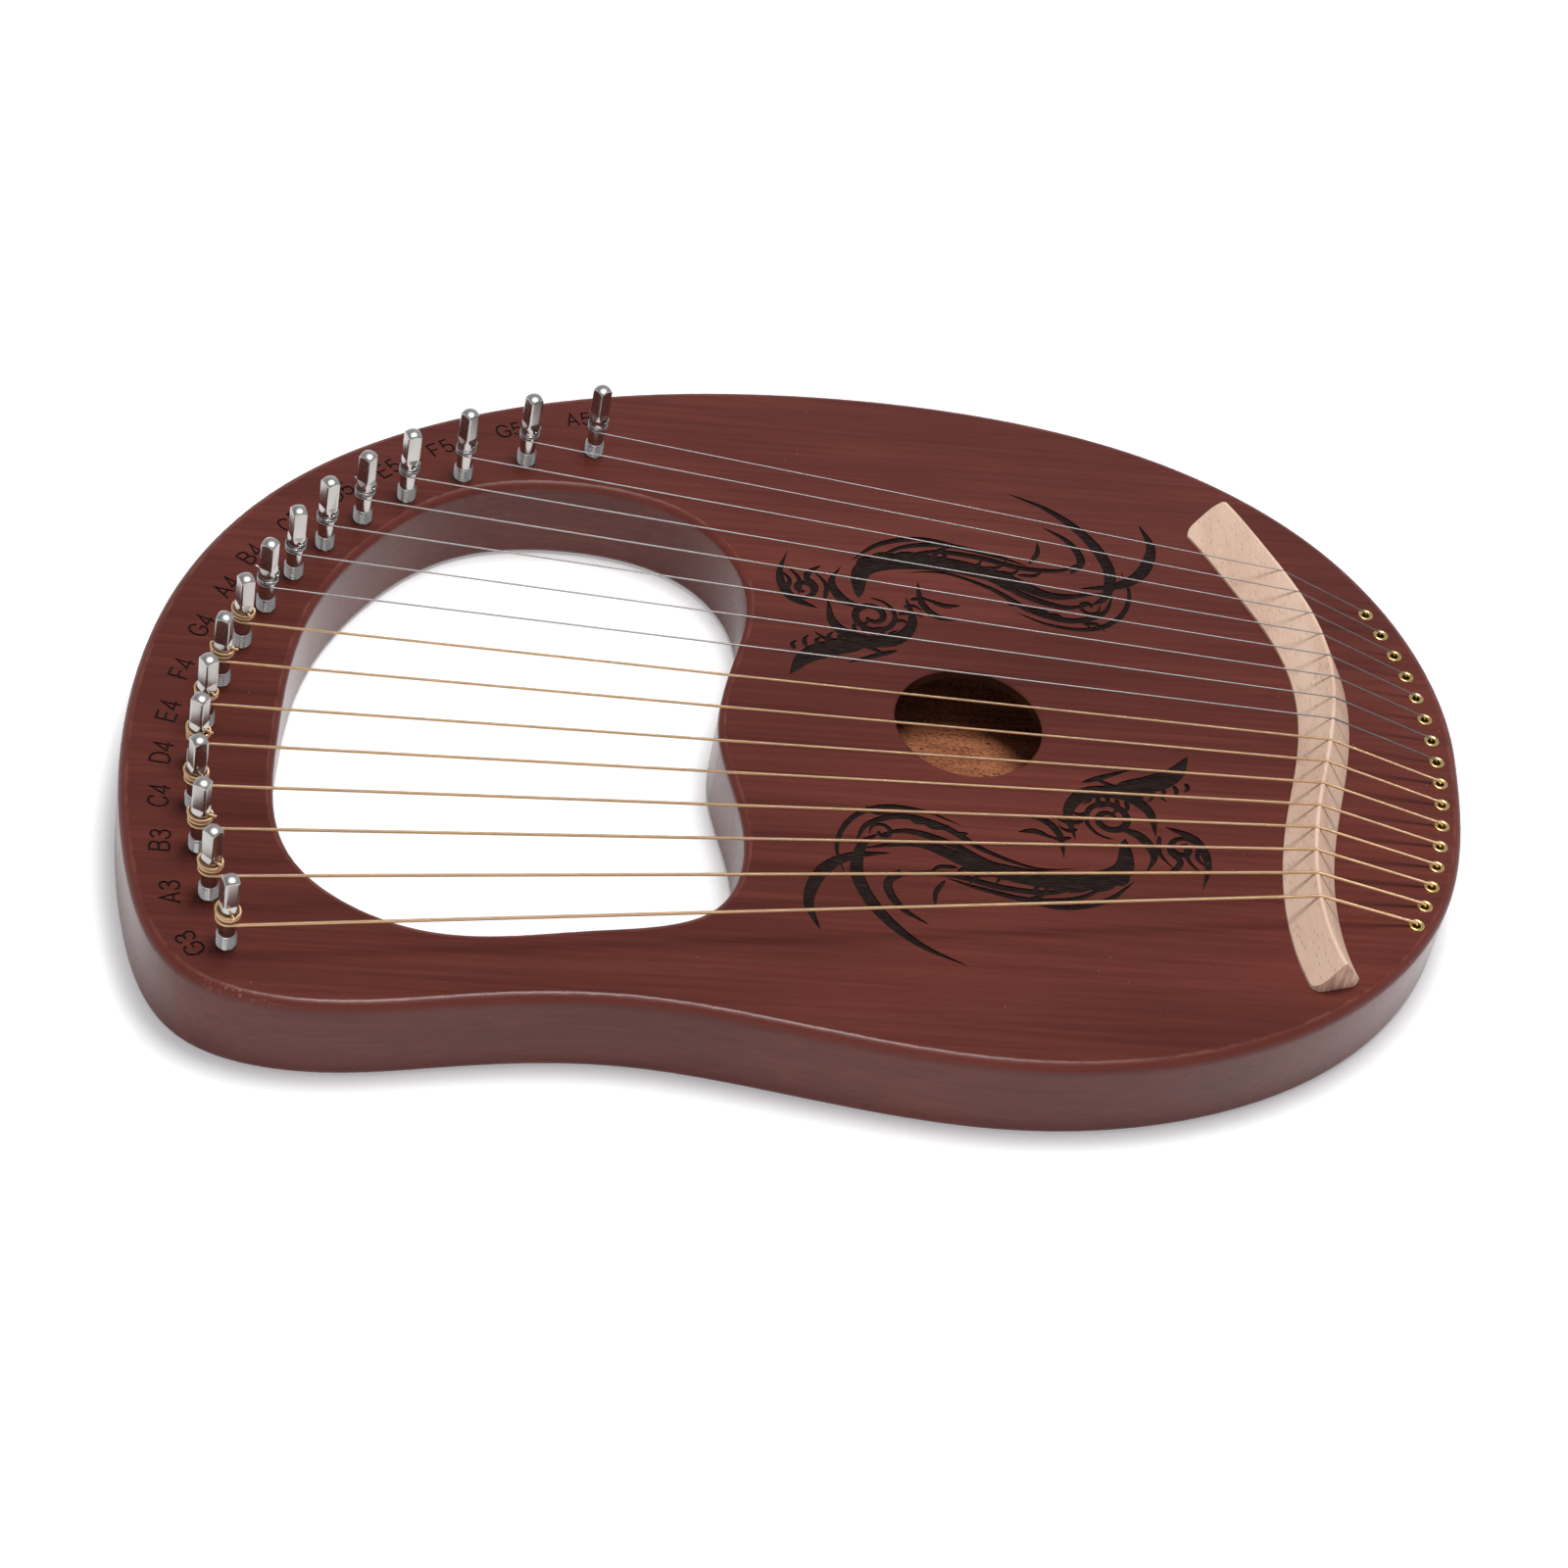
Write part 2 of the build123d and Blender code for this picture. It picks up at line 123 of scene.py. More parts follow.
# Letters as pen strokes, one unit tall.
GLYPHS = {
    "A": [[(0, 0), (0.33, 1), (0.66, 0)], [(0.12, 0.34), (0.54, 0.34)]],
    "B": [
        [(0.34, 0.53), (0, 0.53), (0, 1), (0.34, 1), (0.5, 0.93), (0.55, 0.77), (0.5, 0.6),
         (0.34, 0.53), (0.53, 0.45), (0.6, 0.27), (0.53, 0.08), (0.34, 0), (0, 0), (0, 0.53)],
    ],
    "C": [
        [(0.69, 0.74), (0.6, 0.91), (0.44, 1), (0.26, 0.98), (0.1, 0.84), (0.02, 0.62), (0.01, 0.4),
         (0.08, 0.18), (0.22, 0.03), (0.42, 0), (0.6, 0.09), (0.7, 0.28)],
    ],
    "D": [
        [(0, 0), (0, 1), (0.3, 1), (0.52, 0.9), (0.65, 0.68), (0.67, 0.42), (0.58, 0.15), (0.34, 0),
         (0, 0)],
    ],
    "E": [[(0.58, 1), (0, 1), (0, 0), (0.6, 0)], [(0, 0.53), (0.52, 0.53)]],
    "F": [[(0.56, 1), (0, 1), (0, 0)], [(0, 0.52), (0.46, 0.52)]],
    "G": [
        [(0.7, 0.76), (0.6, 0.92), (0.42, 1), (0.22, 0.96), (0.07, 0.8), (0, 0.55), (0.04, 0.27),
         (0.18, 0.06), (0.4, 0), (0.6, 0.06), (0.72, 0.2), (0.72, 0.46), (0.44, 0.46)],
    ],
    "3": [
        [(0.03, 0.8), (0.13, 0.95), (0.3, 1), (0.48, 0.93), (0.53, 0.77), (0.46, 0.61),
         (0.26, 0.54), (0.49, 0.46), (0.57, 0.27), (0.48, 0.07), (0.28, 0), (0.09, 0.06),
         (0, 0.24)],
    ],
    "4": [[(0.6, 0.29), (0, 0.29), (0.42, 1), (0.42, 0)]],
    "5": [
        [(0.52, 1), (0.12, 1), (0.05, 0.5), (0.2, 0.61), (0.39, 0.61), (0.54, 0.48), (0.57, 0.28),
         (0.47, 0.07), (0.28, 0), (0.1, 0.05), (0, 0.22)],
    ],
}

# A leafy scroll on the treble side of the sound hole. Its copy on the bass side is turned half
# round about FLOURISH_CENTRE.
FLOURISH_CENTRE = (52, -2.6)
# Each leaf: half its greatest width, where along it that is, and the points it runs through.
LEAVES = [
    (3.4, 0.36, [(18, 42), (20, 54), (30, 59), (46, 59), (62, 55), (76, 49), (92, 52)]),
    (1.0, 0.5, [(17, 58), (26, 66), (38, 69.5), (50, 68)]),
    (1.0, 0.5, [(20, 55), (32, 65), (46, 67.5), (60, 64.5), (70, 61)]),
    (1.1, 0.45, [(26, 57), (40, 64), (54, 63.5), (68, 60), (80, 60.5), (86, 65)]),
    (1.2, 0.6, [(30, 54), (44, 55.5), (58, 50), (68, 42.5), (80, 39), (90, 43), (94, 51)]),
    (1.3, 0.5, [(42, 57), (56, 55), (68, 48), (79, 44.5), (88, 47)]),
    (0.9, 0.5, [(63, 41.5), (74, 36.5), (86, 36), (95, 42), (99, 52), (97.5, 62)]),
    (1.9, 0.55, [(66, 93), (79, 86), (89, 75), (94, 62), (92, 51), (87, 46)]),
    (1.9, 0.5, [(105.5, 83), (108, 73), (104, 62), (96, 55.5), (84, 53)]),
    (1.3, 0.4, [(82, 59), (86, 65), (83, 73), (75.5, 79)]),
    (0.8, 0.4, [(70, 62), (73, 67), (73.5, 72)]),
    (2.3, 0.5, [(9, 41), (10, 31), (17, 25), (27, 25.5), (33, 33), (32, 44)]),
    (1.2, 0.5, [(36, 51), (36.5, 42), (41, 36.5), (48, 36)]),
    (1.0, 0.5, [(38, 44), (43, 41.5), (48, 42)]),
    (1.6, 0.6, [(14, 55.5), (10.5, 48), (13.5, 41), (20, 38)]),
    (1.5, 0.6, [(-1.5, 60.5), (-4.5, 50), (-2, 41), (6, 36.5)]),
    (1.0, 0.5, [(8, 55), (3.5, 50.5), (4.5, 45)]),
    (3.2, 0.42, [(18, 21.5), (9, 20.5), (1, 16), (-4, 8.5)]),
    (1.0, 0.4, [(25, 19), (17, 23), (8, 24), (4, 27)]),
    (0.9, 0.4, [(28, 21.5), (21, 18.5), (13, 15)]),
]
# Each curl: its centre, outer radius, starting direction in degrees, turns and half its greatest
# width.
CURLS = [
    ((21.5, 35), 7.6, 95, -1.7, 1.15),
    ((2, 44.5), 4.6, 150, 1.4, 0.95),
    ((86, 45.5), 3.6, 20, -1.1, 0.7),
]
# Each fringe of barbs: where its roots start and end, how many there are, and their direction in
# degrees, length and bend.
FRINGES = [
    ((18.5, 55), (44, 60.5), 9, 38, 11, 2.2),
    ((50, 60), (66, 57), 4, 25, 10, -2.0),
    ((16, 27.5), (29, 24), 6, 62, 8, 1.4),
    ((-2, 19), (12, 23.5), 5, 75, 5.5, 1.0),
    ((-3, 43), (8, 40), 4, 102, 13, -2.2),
    ((27, 33), (33, 43), 4, -8, 8, 1.4),
    ((62, 44), (84, 38), 5, -28, 9, 1.8),
]
LEAF_POINTS_PER_SPAN = 7
LEAF_FULLNESS = 0.8
CURL_POINTS_PER_TURN = 26
CURL_FULLNESS = 0.6
CURL_INNER_SHARE = 0.22
BARB_HALF_WIDTH = 0.75
BARB_PEAK = 0.3
BARB_SWAY_DEGREES = 5
SHORT_BARB_SHARE = 0.72


# ------------------------------ node helpers
def new_material(name, **sockets):
    """A material and its shader, with uniform values set on the shader's own sockets."""
    made = bpy.data.materials.new(name)
    made.use_nodes = True
    shader = made.node_tree.nodes["Principled BSDF"]
    for socket, value in sockets.items():
        shader.inputs[socket.replace("_", " ")].default_value = value
    return made, made.node_tree, shader


def node(tree, kind, inputs=(), **settings):
    """Adds a node. Of its inputs, in order, a socket links, a value is set, None is left alone."""
    made = tree.nodes.new(kind)
    for key, value in settings.items():
        setattr(made, key, value)
    for position, value in enumerate(inputs):
        plug(tree, made.inputs[position], value)
    return made


def plug(tree, socket, value):
    if isinstance(value, bpy.types.NodeSocket):
        tree.links.new(value, socket)
    elif value is not None:
        socket.default_value = value


def maths(tree, operation, *values):
    return node(tree, "ShaderNodeMath", values, operation=operation).outputs[0]


def times(tree, first, *others):
    for other in others:
        first = maths(tree, "MULTIPLY", first, other)
    return first


def plus(tree, first, *others):
    for other in others:
        first = maths(tree, "ADD", first, other)
    return first


def minus(tree, first, second):
    return maths(tree, "SUBTRACT", first, second)


def vector_maths(tree, operation, first, second):
    made = node(tree, "ShaderNodeVectorMath", (first, second), operation=operation)
    return made.outputs["Vector" if operation == "SUBTRACT" else "Value"]


def object_point(tree):
    return tree.nodes.new("ShaderNodeTexCoord").outputs["Object"]


def surface_normal(tree):
    return tree.nodes.new("ShaderNodeNewGeometry").outputs["Normal"]


def stretched(tree, scale, turn=0.0):
    """Object coordinates, scaled along each axis. Small scales stretch a pattern."""
    return node(tree, "ShaderNodeMapping", (object_point(tree), None, (0, 0, turn), scale)).outputs[0]


def noise(tree, scale, detail=3.0, roughness=0.55, turn=0.0):
    made = tree.nodes.new("ShaderNodeTexNoise")
    plug(tree, made.inputs["Vector"], stretched(tree, scale, turn))
    made.inputs["Scale"].default_value = 1.0
    made.inputs["Detail"].default_value = detail
    made.inputs["Roughness"].default_value = roughness
    return made.outputs["Fac"]


def step(tree, value, low, high):
    """0 at low, 1 at high and smooth between them. It falls if low is above high."""
    return node(
        tree, "ShaderNodeMapRange", (value, low, high), interpolation_type="SMOOTHSTEP"
    ).outputs[0]


def cells(tree, scale, turn=0.0):
    """Scattered spots: the distance from the nearest one's middle, and a random value for each."""
    made = tree.nodes.new("ShaderNodeTexVoronoi")
    plug(tree, made.inputs["Vector"], stretched(tree, scale, turn))
    made.inputs["Scale"].default_value = 1.0
    chosen = node(tree, "ShaderNodeSeparateColor", (made.outputs["Color"],)).outputs[0]
    return made.outputs["Distance"], chosen


def ramp(tree, value, stops):
    """Colours along a value. Each stop is a position and a colour."""
    made = node(tree, "ShaderNodeValToRGB", (value,))
    elements = made.color_ramp.elements
    while len(elements) < len(stops):
        elements.new(0.5)
    for element, (position, colour) in zip(elements, stops):
        element.position = position
        element.color = (*colour, 1)
    return made.outputs["Color"]


def mixed(tree, share, first, second):
    """The first colour, turned into the second by a share of 1."""
    made = tree.nodes.new("ShaderNodeMix")
    made.data_type = "RGBA"
    sockets = [socket for socket in made.inputs if socket.type == "RGBA"]
    plug(tree, made.inputs[0], share)
    plug(tree, sockets[0], (*first, 1) if isinstance(first, tuple) else first)
    plug(tree, sockets[1], (*second, 1) if isinstance(second, tuple) else second)
    return next(socket for socket in made.outputs if socket.type == "RGBA")


def bump(tree, height, depth):
    """Normals of a surface whose height (0 to 1) is depth metres at 1."""
    made = tree.nodes.new("ShaderNodeBump")
    made.inputs["Distance"].default_value = depth
    plug(tree, made.inputs["Height"], height)
    return made.outputs["Normal"]


def facing(tree, axis):
    """How far the surface faces along an axis, from -1 to 1."""
    return node(tree, "ShaderNodeSeparateXYZ", (surface_normal(tree),)).outputs[axis]


def place_along(tree, axis):
    return node(tree, "ShaderNodeSeparateXYZ", (object_point(tree),)).outputs[axis]


def darker(colour, share):
    return tuple(part * share for part in colour)


# ------------------------------ wood
CHAMBER_CENTRE = (0.06, 0.0, 0.0)
CHAMBER_START = -0.0085
SCUFF_AT = (-0.150, -0.113, 0.025)
HOLE_AT = (0.046, -0.0057, 0.025)
HOLE_RADIUS = 0.021
ROUND_OVER_FROM = 0.021
ROUND_OVER_FULL = 0.0235

# Colours, from the darkest to the palest grain where there are two or three.
STAIN = (
    (0.36, (0.074, 0.0165, 0.0125)), (0.5, (0.106, 0.0235, 0.0170)),
    (0.64, (0.145, 0.0340, 0.0235)),
)
PORE = (0.035, 0.010, 0.008)
RUBBED = (0.13, 0.020, 0.012)
# Partly wear, partly a painted highlight: the pale line along the round-over's crest.
WEAR_AND_HIGHLIGHT = (0.36, 0.13, 0.075)
DUST = (0.42, 0.27, 0.22)
SCUFFED = (0.40, 0.22, 0.17)
# Painted shade: the nearly black wall of the sound hole.
HOLE_WALL_SHADE = (0.020, 0.007, 0.005)
CHAMBER_WOOD = (0.16, 0.045, 0.020), (0.44, 0.165, 0.075)
BOARD_WOOD = (0.16, 0.045, 0.020), (0.40, 0.150, 0.068)
SPRUCE_WOOD = (0.47, 0.30, 0.15), (0.66, 0.47, 0.28)
CHAR = (
    (0.35, (0.004, 0.0025, 0.002)), (0.6, (0.013, 0.007, 0.006)), (0.85, (0.050, 0.026, 0.021)),
)
BEECH_FACE = (
    (0.34, (0.62, 0.41, 0.295)), (0.5, (0.71, 0.49, 0.365)), (0.66, (0.76, 0.545, 0.42)),
)
BEECH_END = (0.38, (0.38, 0.19, 0.13)), (0.62, (0.68, 0.43, 0.32))
BEECH_FLECK = (0.36, 0.20, 0.13)

# Depths of the surfaces' relief, in metres.
LACQUER_RELIEF = 0.000012
RAW_RELIEF = 0.00012
CHAR_RELIEF = 0.00015
SANDED_RELIEF = 0.00004


def bare_wood_colour(tree, dark, light):
    """Unstained wood between two colours, with short dark flecks."""
    fibre = noise(tree, (60, 420, 420), 4, 0.6)
    speckle = noise(tree, (900, 1500, 1500), 3, 0.6)
    tone = plus(tree, times(tree, fibre, 0.4), times(tree, speckle, 0.6))
    colour = ramp(tree, tone, ((0.40, dark), (0.58, light)))
    flecks = noise(tree, (500, 900, 900), 2, 0.5)
    return mixed(tree, step(tree, flecks, 0.64, 0.70), colour, darker(dark, 0.35))


def chamber_mask(tree):
    """1 on the side frame's walls round the sound chamber, 0 on its other sides."""
    inward = vector_maths(tree, "SUBTRACT", object_point(tree), CHAMBER_CENTRE)
    toward = vector_maths(tree, "DOT_PRODUCT", inward, surface_normal(tree))
    past_start = step(tree, place_along(tree, 0), CHAMBER_START, CHAMBER_START + MM)
    return times(tree, step(tree, toward, 0.0, -MM), past_start)


def stained_wood(name, bare=None):
    """Red-brown stain under satin lacquer. bare, if given, makes the mask of the raw wood."""
    made, tree, shader = new_material(
        name, Specular_IOR_Level=0.25, Coat_Weight=0.05, Coat_Roughness=0.2
    )
    bands = noise(tree, (5, 60, 60), 4, 0.6)
    fibre = noise(tree, (14, 620, 620), 5, 0.62)
    cloud = noise(tree, (9, 14, 14), 3, 0.5)
    pores = noise(tree, (120, 3800, 3800), 2, 0.5)
    tone = plus(tree, times(tree, bands, 0.27), times(tree, fibre, 0.38), times(tree, cloud, 0.35))
    pore = step(tree, pores, 0.60, 0.68)
    colour = mixed(tree, times(tree, pore, 0.2), ramp(tree, tone, STAIN), PORE)

    # The lacquer is thin and redder on the rounded upper edges. Along their crest runs a pale line,
    # partly wear where hands rub them and partly a painted highlight.
    up = facing(tree, 2)
    upper = step(tree, place_along(tree, 2), ROUND_OVER_FROM, ROUND_OVER_FULL)
    rubbed = times(tree, step(tree, up, 0.12, 0.45), step(tree, up, 0.995, 0.93), upper)
    colour = mixed(tree, times(tree, rubbed, 0.5), colour, RUBBED)
    patchy = step(tree, noise(tree, (160, 160, 160), 3), 0.42, 0.6)
    # The pale crest line is partly wear and partly a painted highlight of the light's reflection.
    crest = times(tree, step(tree, up, 0.86, 0.965), step(tree, up, 0.9995, 0.985))
    crest_wear_and_highlight = times(tree, crest, patchy, upper)
    colour = mixed(tree, times(tree, crest_wear_and_highlight, 0.16), colour, WEAR_AND_HIGHLIGHT)

    # Pale dust specks, and scuffs on the corner by the lowest string.
    off_speck, chosen = cells(tree, (260, 260, 260))
    speck = times(tree, step(tree, off_speck, 0.055, 0.03), step(tree, chosen, 0.90, 0.91))
    colour = mixed(tree, times(tree, speck, 0.55), colour, DUST)
    off_scuff = vector_maths(tree, "DISTANCE", object_point(tree), SCUFF_AT)
    pits = step(tree, noise(tree, (900, 900, 900), 2), 0.56, 0.64)
    scuff = times(tree, step(tree, off_scuff, 0.016, 0.004), pits, rubbed)
    colour = mixed(tree, times(tree, scuff, 0.6), colour, SCUFFED)

    # Inside the sound hole its wall is painted nearly black: painted shade in the hole.
    off_hole = vector_maths(tree, "DISTANCE", object_point(tree), HOLE_AT)
    near_hole = step(tree, off_hole, HOLE_RADIUS + 0.0025, HOLE_RADIUS + 0.001)
    painted_hole_shade = times(tree, near_hole, step(tree, up, 0.8, 0.5))
    colour = mixed(tree, times(tree, painted_hole_shade, 0.85), colour, HOLE_WALL_SHADE)

    rough = maths(tree, "MULTIPLY_ADD", fibre, 0.10, 0.18)
    rough = plus(tree, rough, times(tree, rubbed, 0.26))
    height = minus(tree, times(tree, fibre, 0.5), times(tree, pore, 0.5))
    height = minus(tree, height, times(tree, scuff, 1.2))
    if bare is not None:
        mask = bare(tree)
        colour = mixed(tree, mask, colour, bare_wood_colour(tree, *CHAMBER_WOOD))
        rough = maths(tree, "MAXIMUM", rough, times(tree, mask, 0.9))
    plug(tree, shader.inputs["Base Color"], colour)
    plug(tree, shader.inputs["Roughness"], rough)
    plug(tree, shader.inputs["Normal"], bump(tree, height, LACQUER_RELIEF))
    return made


def raw_wood(name, dark, light):
    made, tree, shader = new_material(name, Roughness=0.85, Specular_IOR_Level=0.25)
    plug(tree, shader.inputs["Base Color"], bare_wood_colour(tree, dark, light))
    plug(tree, shader.inputs["Normal"], bump(tree, noise(tree, (400, 1600, 1600), 3), RAW_RELIEF))
    return made


def burnt_wood():
    """Floor and walls of the engraving: charred, with the fine lines of the burning head."""
    made, tree, shader = new_material("burnt_wood", Specular_IOR_Level=0.08)
    lines = node(tree, "ShaderNodeTexWave", (stretched(tree, (30, 1000, 30)),), bands_direction="Y")
    lines.inputs["Scale"].default_value = 0.55
    lines.inputs["Distortion"].default_value = 2.2
    lines.inputs["Detail"].default_value = 2.0
    char = noise(tree, (260, 900, 900), 4, 0.6)
    tone = plus(tree, times(tree, lines.outputs["Fac"], 0.45), times(tree, char, 0.6))
    plug(tree, shader.inputs["Base Color"], ramp(tree, tone, CHAR))
    plug(tree, shader.inputs["Roughness"], minus(tree, 0.85, times(tree, char, 0.3)))
    plug(tree, shader.inputs["Normal"], bump(tree, tone, CHAR_RELIEF))
    return made


def beech():
    """Sanded beech: pale, with short dark flecks along the bridge and browner end grain."""
    made, tree, shader = new_material(
        "beech", Specular_IOR_Level=0.35, Coat_Weight=0.04, Coat_Roughness=0.5
    )
    bands = noise(tree, (160, 9, 60), 3, 0.5)
    fibre = noise(tree, (1500, 30, 1500), 4, 0.6)
    tone = plus(tree, times(tree, bands, 0.6), times(tree, fibre, 0.4))
    off_fleck, chosen = cells(tree, (2300, 330, 1500), math.radians(8))
    fleck = times(tree, step(tree, off_fleck, 0.45, 0.2), step(tree, chosen, 0.72, 0.80))
    face = mixed(tree, times(tree, fleck, 0.55), ramp(tree, tone, BEECH_FACE), BEECH_FLECK)
    end_streaks = noise(tree, (700, 700, 110), 4, 0.6, math.radians(20))
    sawn = step(tree, facing(tree, 1), -0.72, -0.86)
    colour = mixed(tree, sawn, face, ramp(tree, end_streaks, BEECH_END))
    height = minus(tree, times(tree, fibre, 0.4), times(tree, fleck, 0.6))
    plug(tree, shader.inputs["Base Color"], colour)
    plug(tree, shader.inputs["Roughness"], minus(tree, 0.62, times(tree, fibre, 0.12)))
    plug(tree, shader.inputs["Normal"], bump(tree, height, SANDED_RELIEF))
    return made


# ------------------------------ metal
METAL_RELIEF = 0.000012
DRAWN_RELIEF = 0.000002
WOUND_RELIEF = 0.00005


def metal(name, colour, roughness, pitting=0.0, worn_colour=None, satin_top=0.0):
    """Plated or turned metal. satin_top is how much rougher its upward faces are."""
    made, tree, shader = new_material(name, Metallic=1.0)
    smear = noise(tree, (260, 260, 90), 3, 0.5)
    tint = mixed(tree, step(tree, smear, 0.35, 0.75), colour, worn_colour or darker(colour, 0.86))
    pits = step(tree, noise(tree, (1500, 1500, 1100), 2, 0.5), 0.64, 0.72)
    satin = times(tree, step(tree, facing(tree, 2), 0.45, 0.8), satin_top)
    uneven = plus(tree, times(tree, smear, 0.12), times(tree, pits, 0.15 * pitting), satin)
    height = minus(tree, times(tree, smear, 0.5), times(tree, pits, 0.5 * pitting))
    plug(tree, shader.inputs["Base Color"], tint)
    plug(tree, shader.inputs["Roughness"], plus(tree, uneven, roughness - 0.06))
    plug(tree, shader.inputs["Normal"], bump(tree, height, METAL_RELIEF))
    return made


def wire_metal(name, colour, roughness, along, relief):
    """Drawn or wound wire. along makes the distance along the wire, in turns of its pattern."""
    made, tree, shader = new_material(name, Metallic=1.0)
    smear = noise(tree, (90, 700, 700), 3, 0.5)
    pale = tuple(min(1.0, part * 1.08) for part in colour)
    tint = mixed(tree, smear, darker(colour, 0.86), pale)
    turn = maths(tree, "SINE", times(tree, along(tree), 2 * math.pi))
    ridge = maths(tree, "MULTIPLY_ADD", turn, 0.5, 0.5)
    # Between the turns the colour is darkened: painted shade in the grooves of the winding, faint on
    # drawn wire.
    groove_shade = times(tree, step(tree, ridge, 0.35, 0.0), 0.1 if relief == DRAWN_RELIEF else 0.55)
    plug(tree, shader.inputs["Base Color"], mixed(tree, groove_shade, tint, darker(colour, 0.35)))
    plug(tree, shader.inputs["Roughness"], plus(tree, times(tree, smear, 0.12), roughness - 0.06))
    plug(tree, shader.inputs["Normal"], bump(tree, ridge, relief))
    return made


def along_x(turns_per_metre):
    return lambda tree: times(tree, place_along(tree, 0), turns_per_metre)


def along_wire(turns_per_metre):
    def build(tree):
        stored = node(tree, "ShaderNodeAttribute", attribute_name="along").outputs["Fac"]
        return times(tree, stored, turns_per_metre)
    return build


# Turns of the winding, and marks of the drawing, in each metre.
WINDING = 1 / (0.26 * MM)
DRAWING = 1 / (1.7 * MM)
# One plain steel wire painted as shaded and lit copies: darker on its straight run, paler on its
# coil.
STRAIGHT_STEEL_SHADED = (0.30, 0.28, 0.27)
COILED_STEEL_LIT = (0.55, 0.53, 0.51)
BRONZE = (0.86, 0.56, 0.32)
BRASS_BRIGHT, BRASS_DULL = (0.92, 0.70, 0.30), (0.84, 0.58, 0.20)
NICKEL_GREY = (0.53, 0.505, 0.48)

LACQUERED = stained_wood("stained_wood")
LACQUERED_FRAME = stained_wood("stained_side_frame", chamber_mask)
LACQUERED_BACK = stained_wood("stained_back", lambda tree: step(tree, facing(tree, 2), 0.5, 0.6))
RAW_BOARD = raw_wood("raw_board", *BOARD_WOOD)
SPRUCE = raw_wood("spruce", *SPRUCE_WOOD)
BURNT = burnt_wood()
BEECH = beech()
NICKEL = metal("nickel_plate", NICKEL_GREY, 0.19, pitting=1.0, satin_top=0.17)
BRASS = metal("brass", BRASS_BRIGHT, 0.27, worn_colour=BRASS_DULL)
PLAIN_STRAIGHT = wire_metal("plain_wire", STRAIGHT_STEEL_SHADED, 0.42, along_x(DRAWING), DRAWN_RELIEF)
PLAIN_COILED = wire_metal(
    "plain_wire_coiled", COILED_STEEL_LIT, 0.24, along_wire(DRAWING), DRAWN_RELIEF
)
WOUND_STRAIGHT = wire_metal("wound_wire", BRONZE, 0.34, along_x(WINDING), WOUND_RELIEF)
WOUND_COILED = wire_metal("wound_wire_coiled", BRONZE, 0.32, along_wire(WINDING), WOUND_RELIEF)


def dress(name, finish):
    """Gives a carried-over CAD node its material."""
    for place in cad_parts[name].material_slots:
        place.material = finish


dress("side_frame", LACQUERED_FRAME)
dress("back_plate", LACQUERED_BACK)
dress("bridge", BEECH)
dress("soundboard_brace_1", SPRUCE)
dress("soundboard_brace_2", SPRUCE)
dress("string_eyelets", BRASS)
dress("string_ball_ends", BRASS)
for note in NOTES:
    dress(f"string_{note}", PLAIN_STRAIGHT if note in PLAIN_NOTES else WOUND_STRAIGHT)


# ------------------------------ mesh helpers
WELD = 1e-6
WIRE_SIDES = 14
WIRE_TIP_SHARE = 0.35
WIRE_SHARP_DEGREES = 50
BOARD_SHARP_DEGREES = 30


def add_piece(name, mesh, finishes, body, stands_for=(), place=None):
    """Links a mesh as a piece on a body, in the CAD nodes' place if it stands for any."""
    made = bpy.data.objects.new(name, mesh)
    bpy.context.scene.collection.objects.link(made)
    if not mesh.materials:
        for finish in finishes:
            mesh.materials.append(finish)
    if place is not None:
        made.matrix_world = place
    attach(made, body)
    if stands_for:
        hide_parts(*stands_for)
    return made


def smooth_path(points, per_span):
    """Points along a smooth line through the given ones."""
    known = [np.array(p, float) for p in points]
    known = [2 * known[0] - known[1]] + known + [2 * known[-1] - known[-2]]
    line = []
    for before, here, after, beyond in zip(known, known[1:], known[2:], known[3:]):
        for t in np.arange(per_span) / per_span:
            pull = (after - before) * t
            bend = (2 * before - 5 * here + 4 * after - beyond) * t * t
            twist = (3 * here - before - 3 * after + beyond) * t**3
            line.append(here + 0.5 * (pull + bend + twist))
    line.append(known[-2])
    return line


def ring_faces(ring, sides):
    """The quads between one ring of points and the next."""
    pairs = [(ring * sides + k, ring * sides + (k + 1) % sides) for k in range(sides)]
    return [(a, b, b + sides, a + sides) for a, b in pairs]


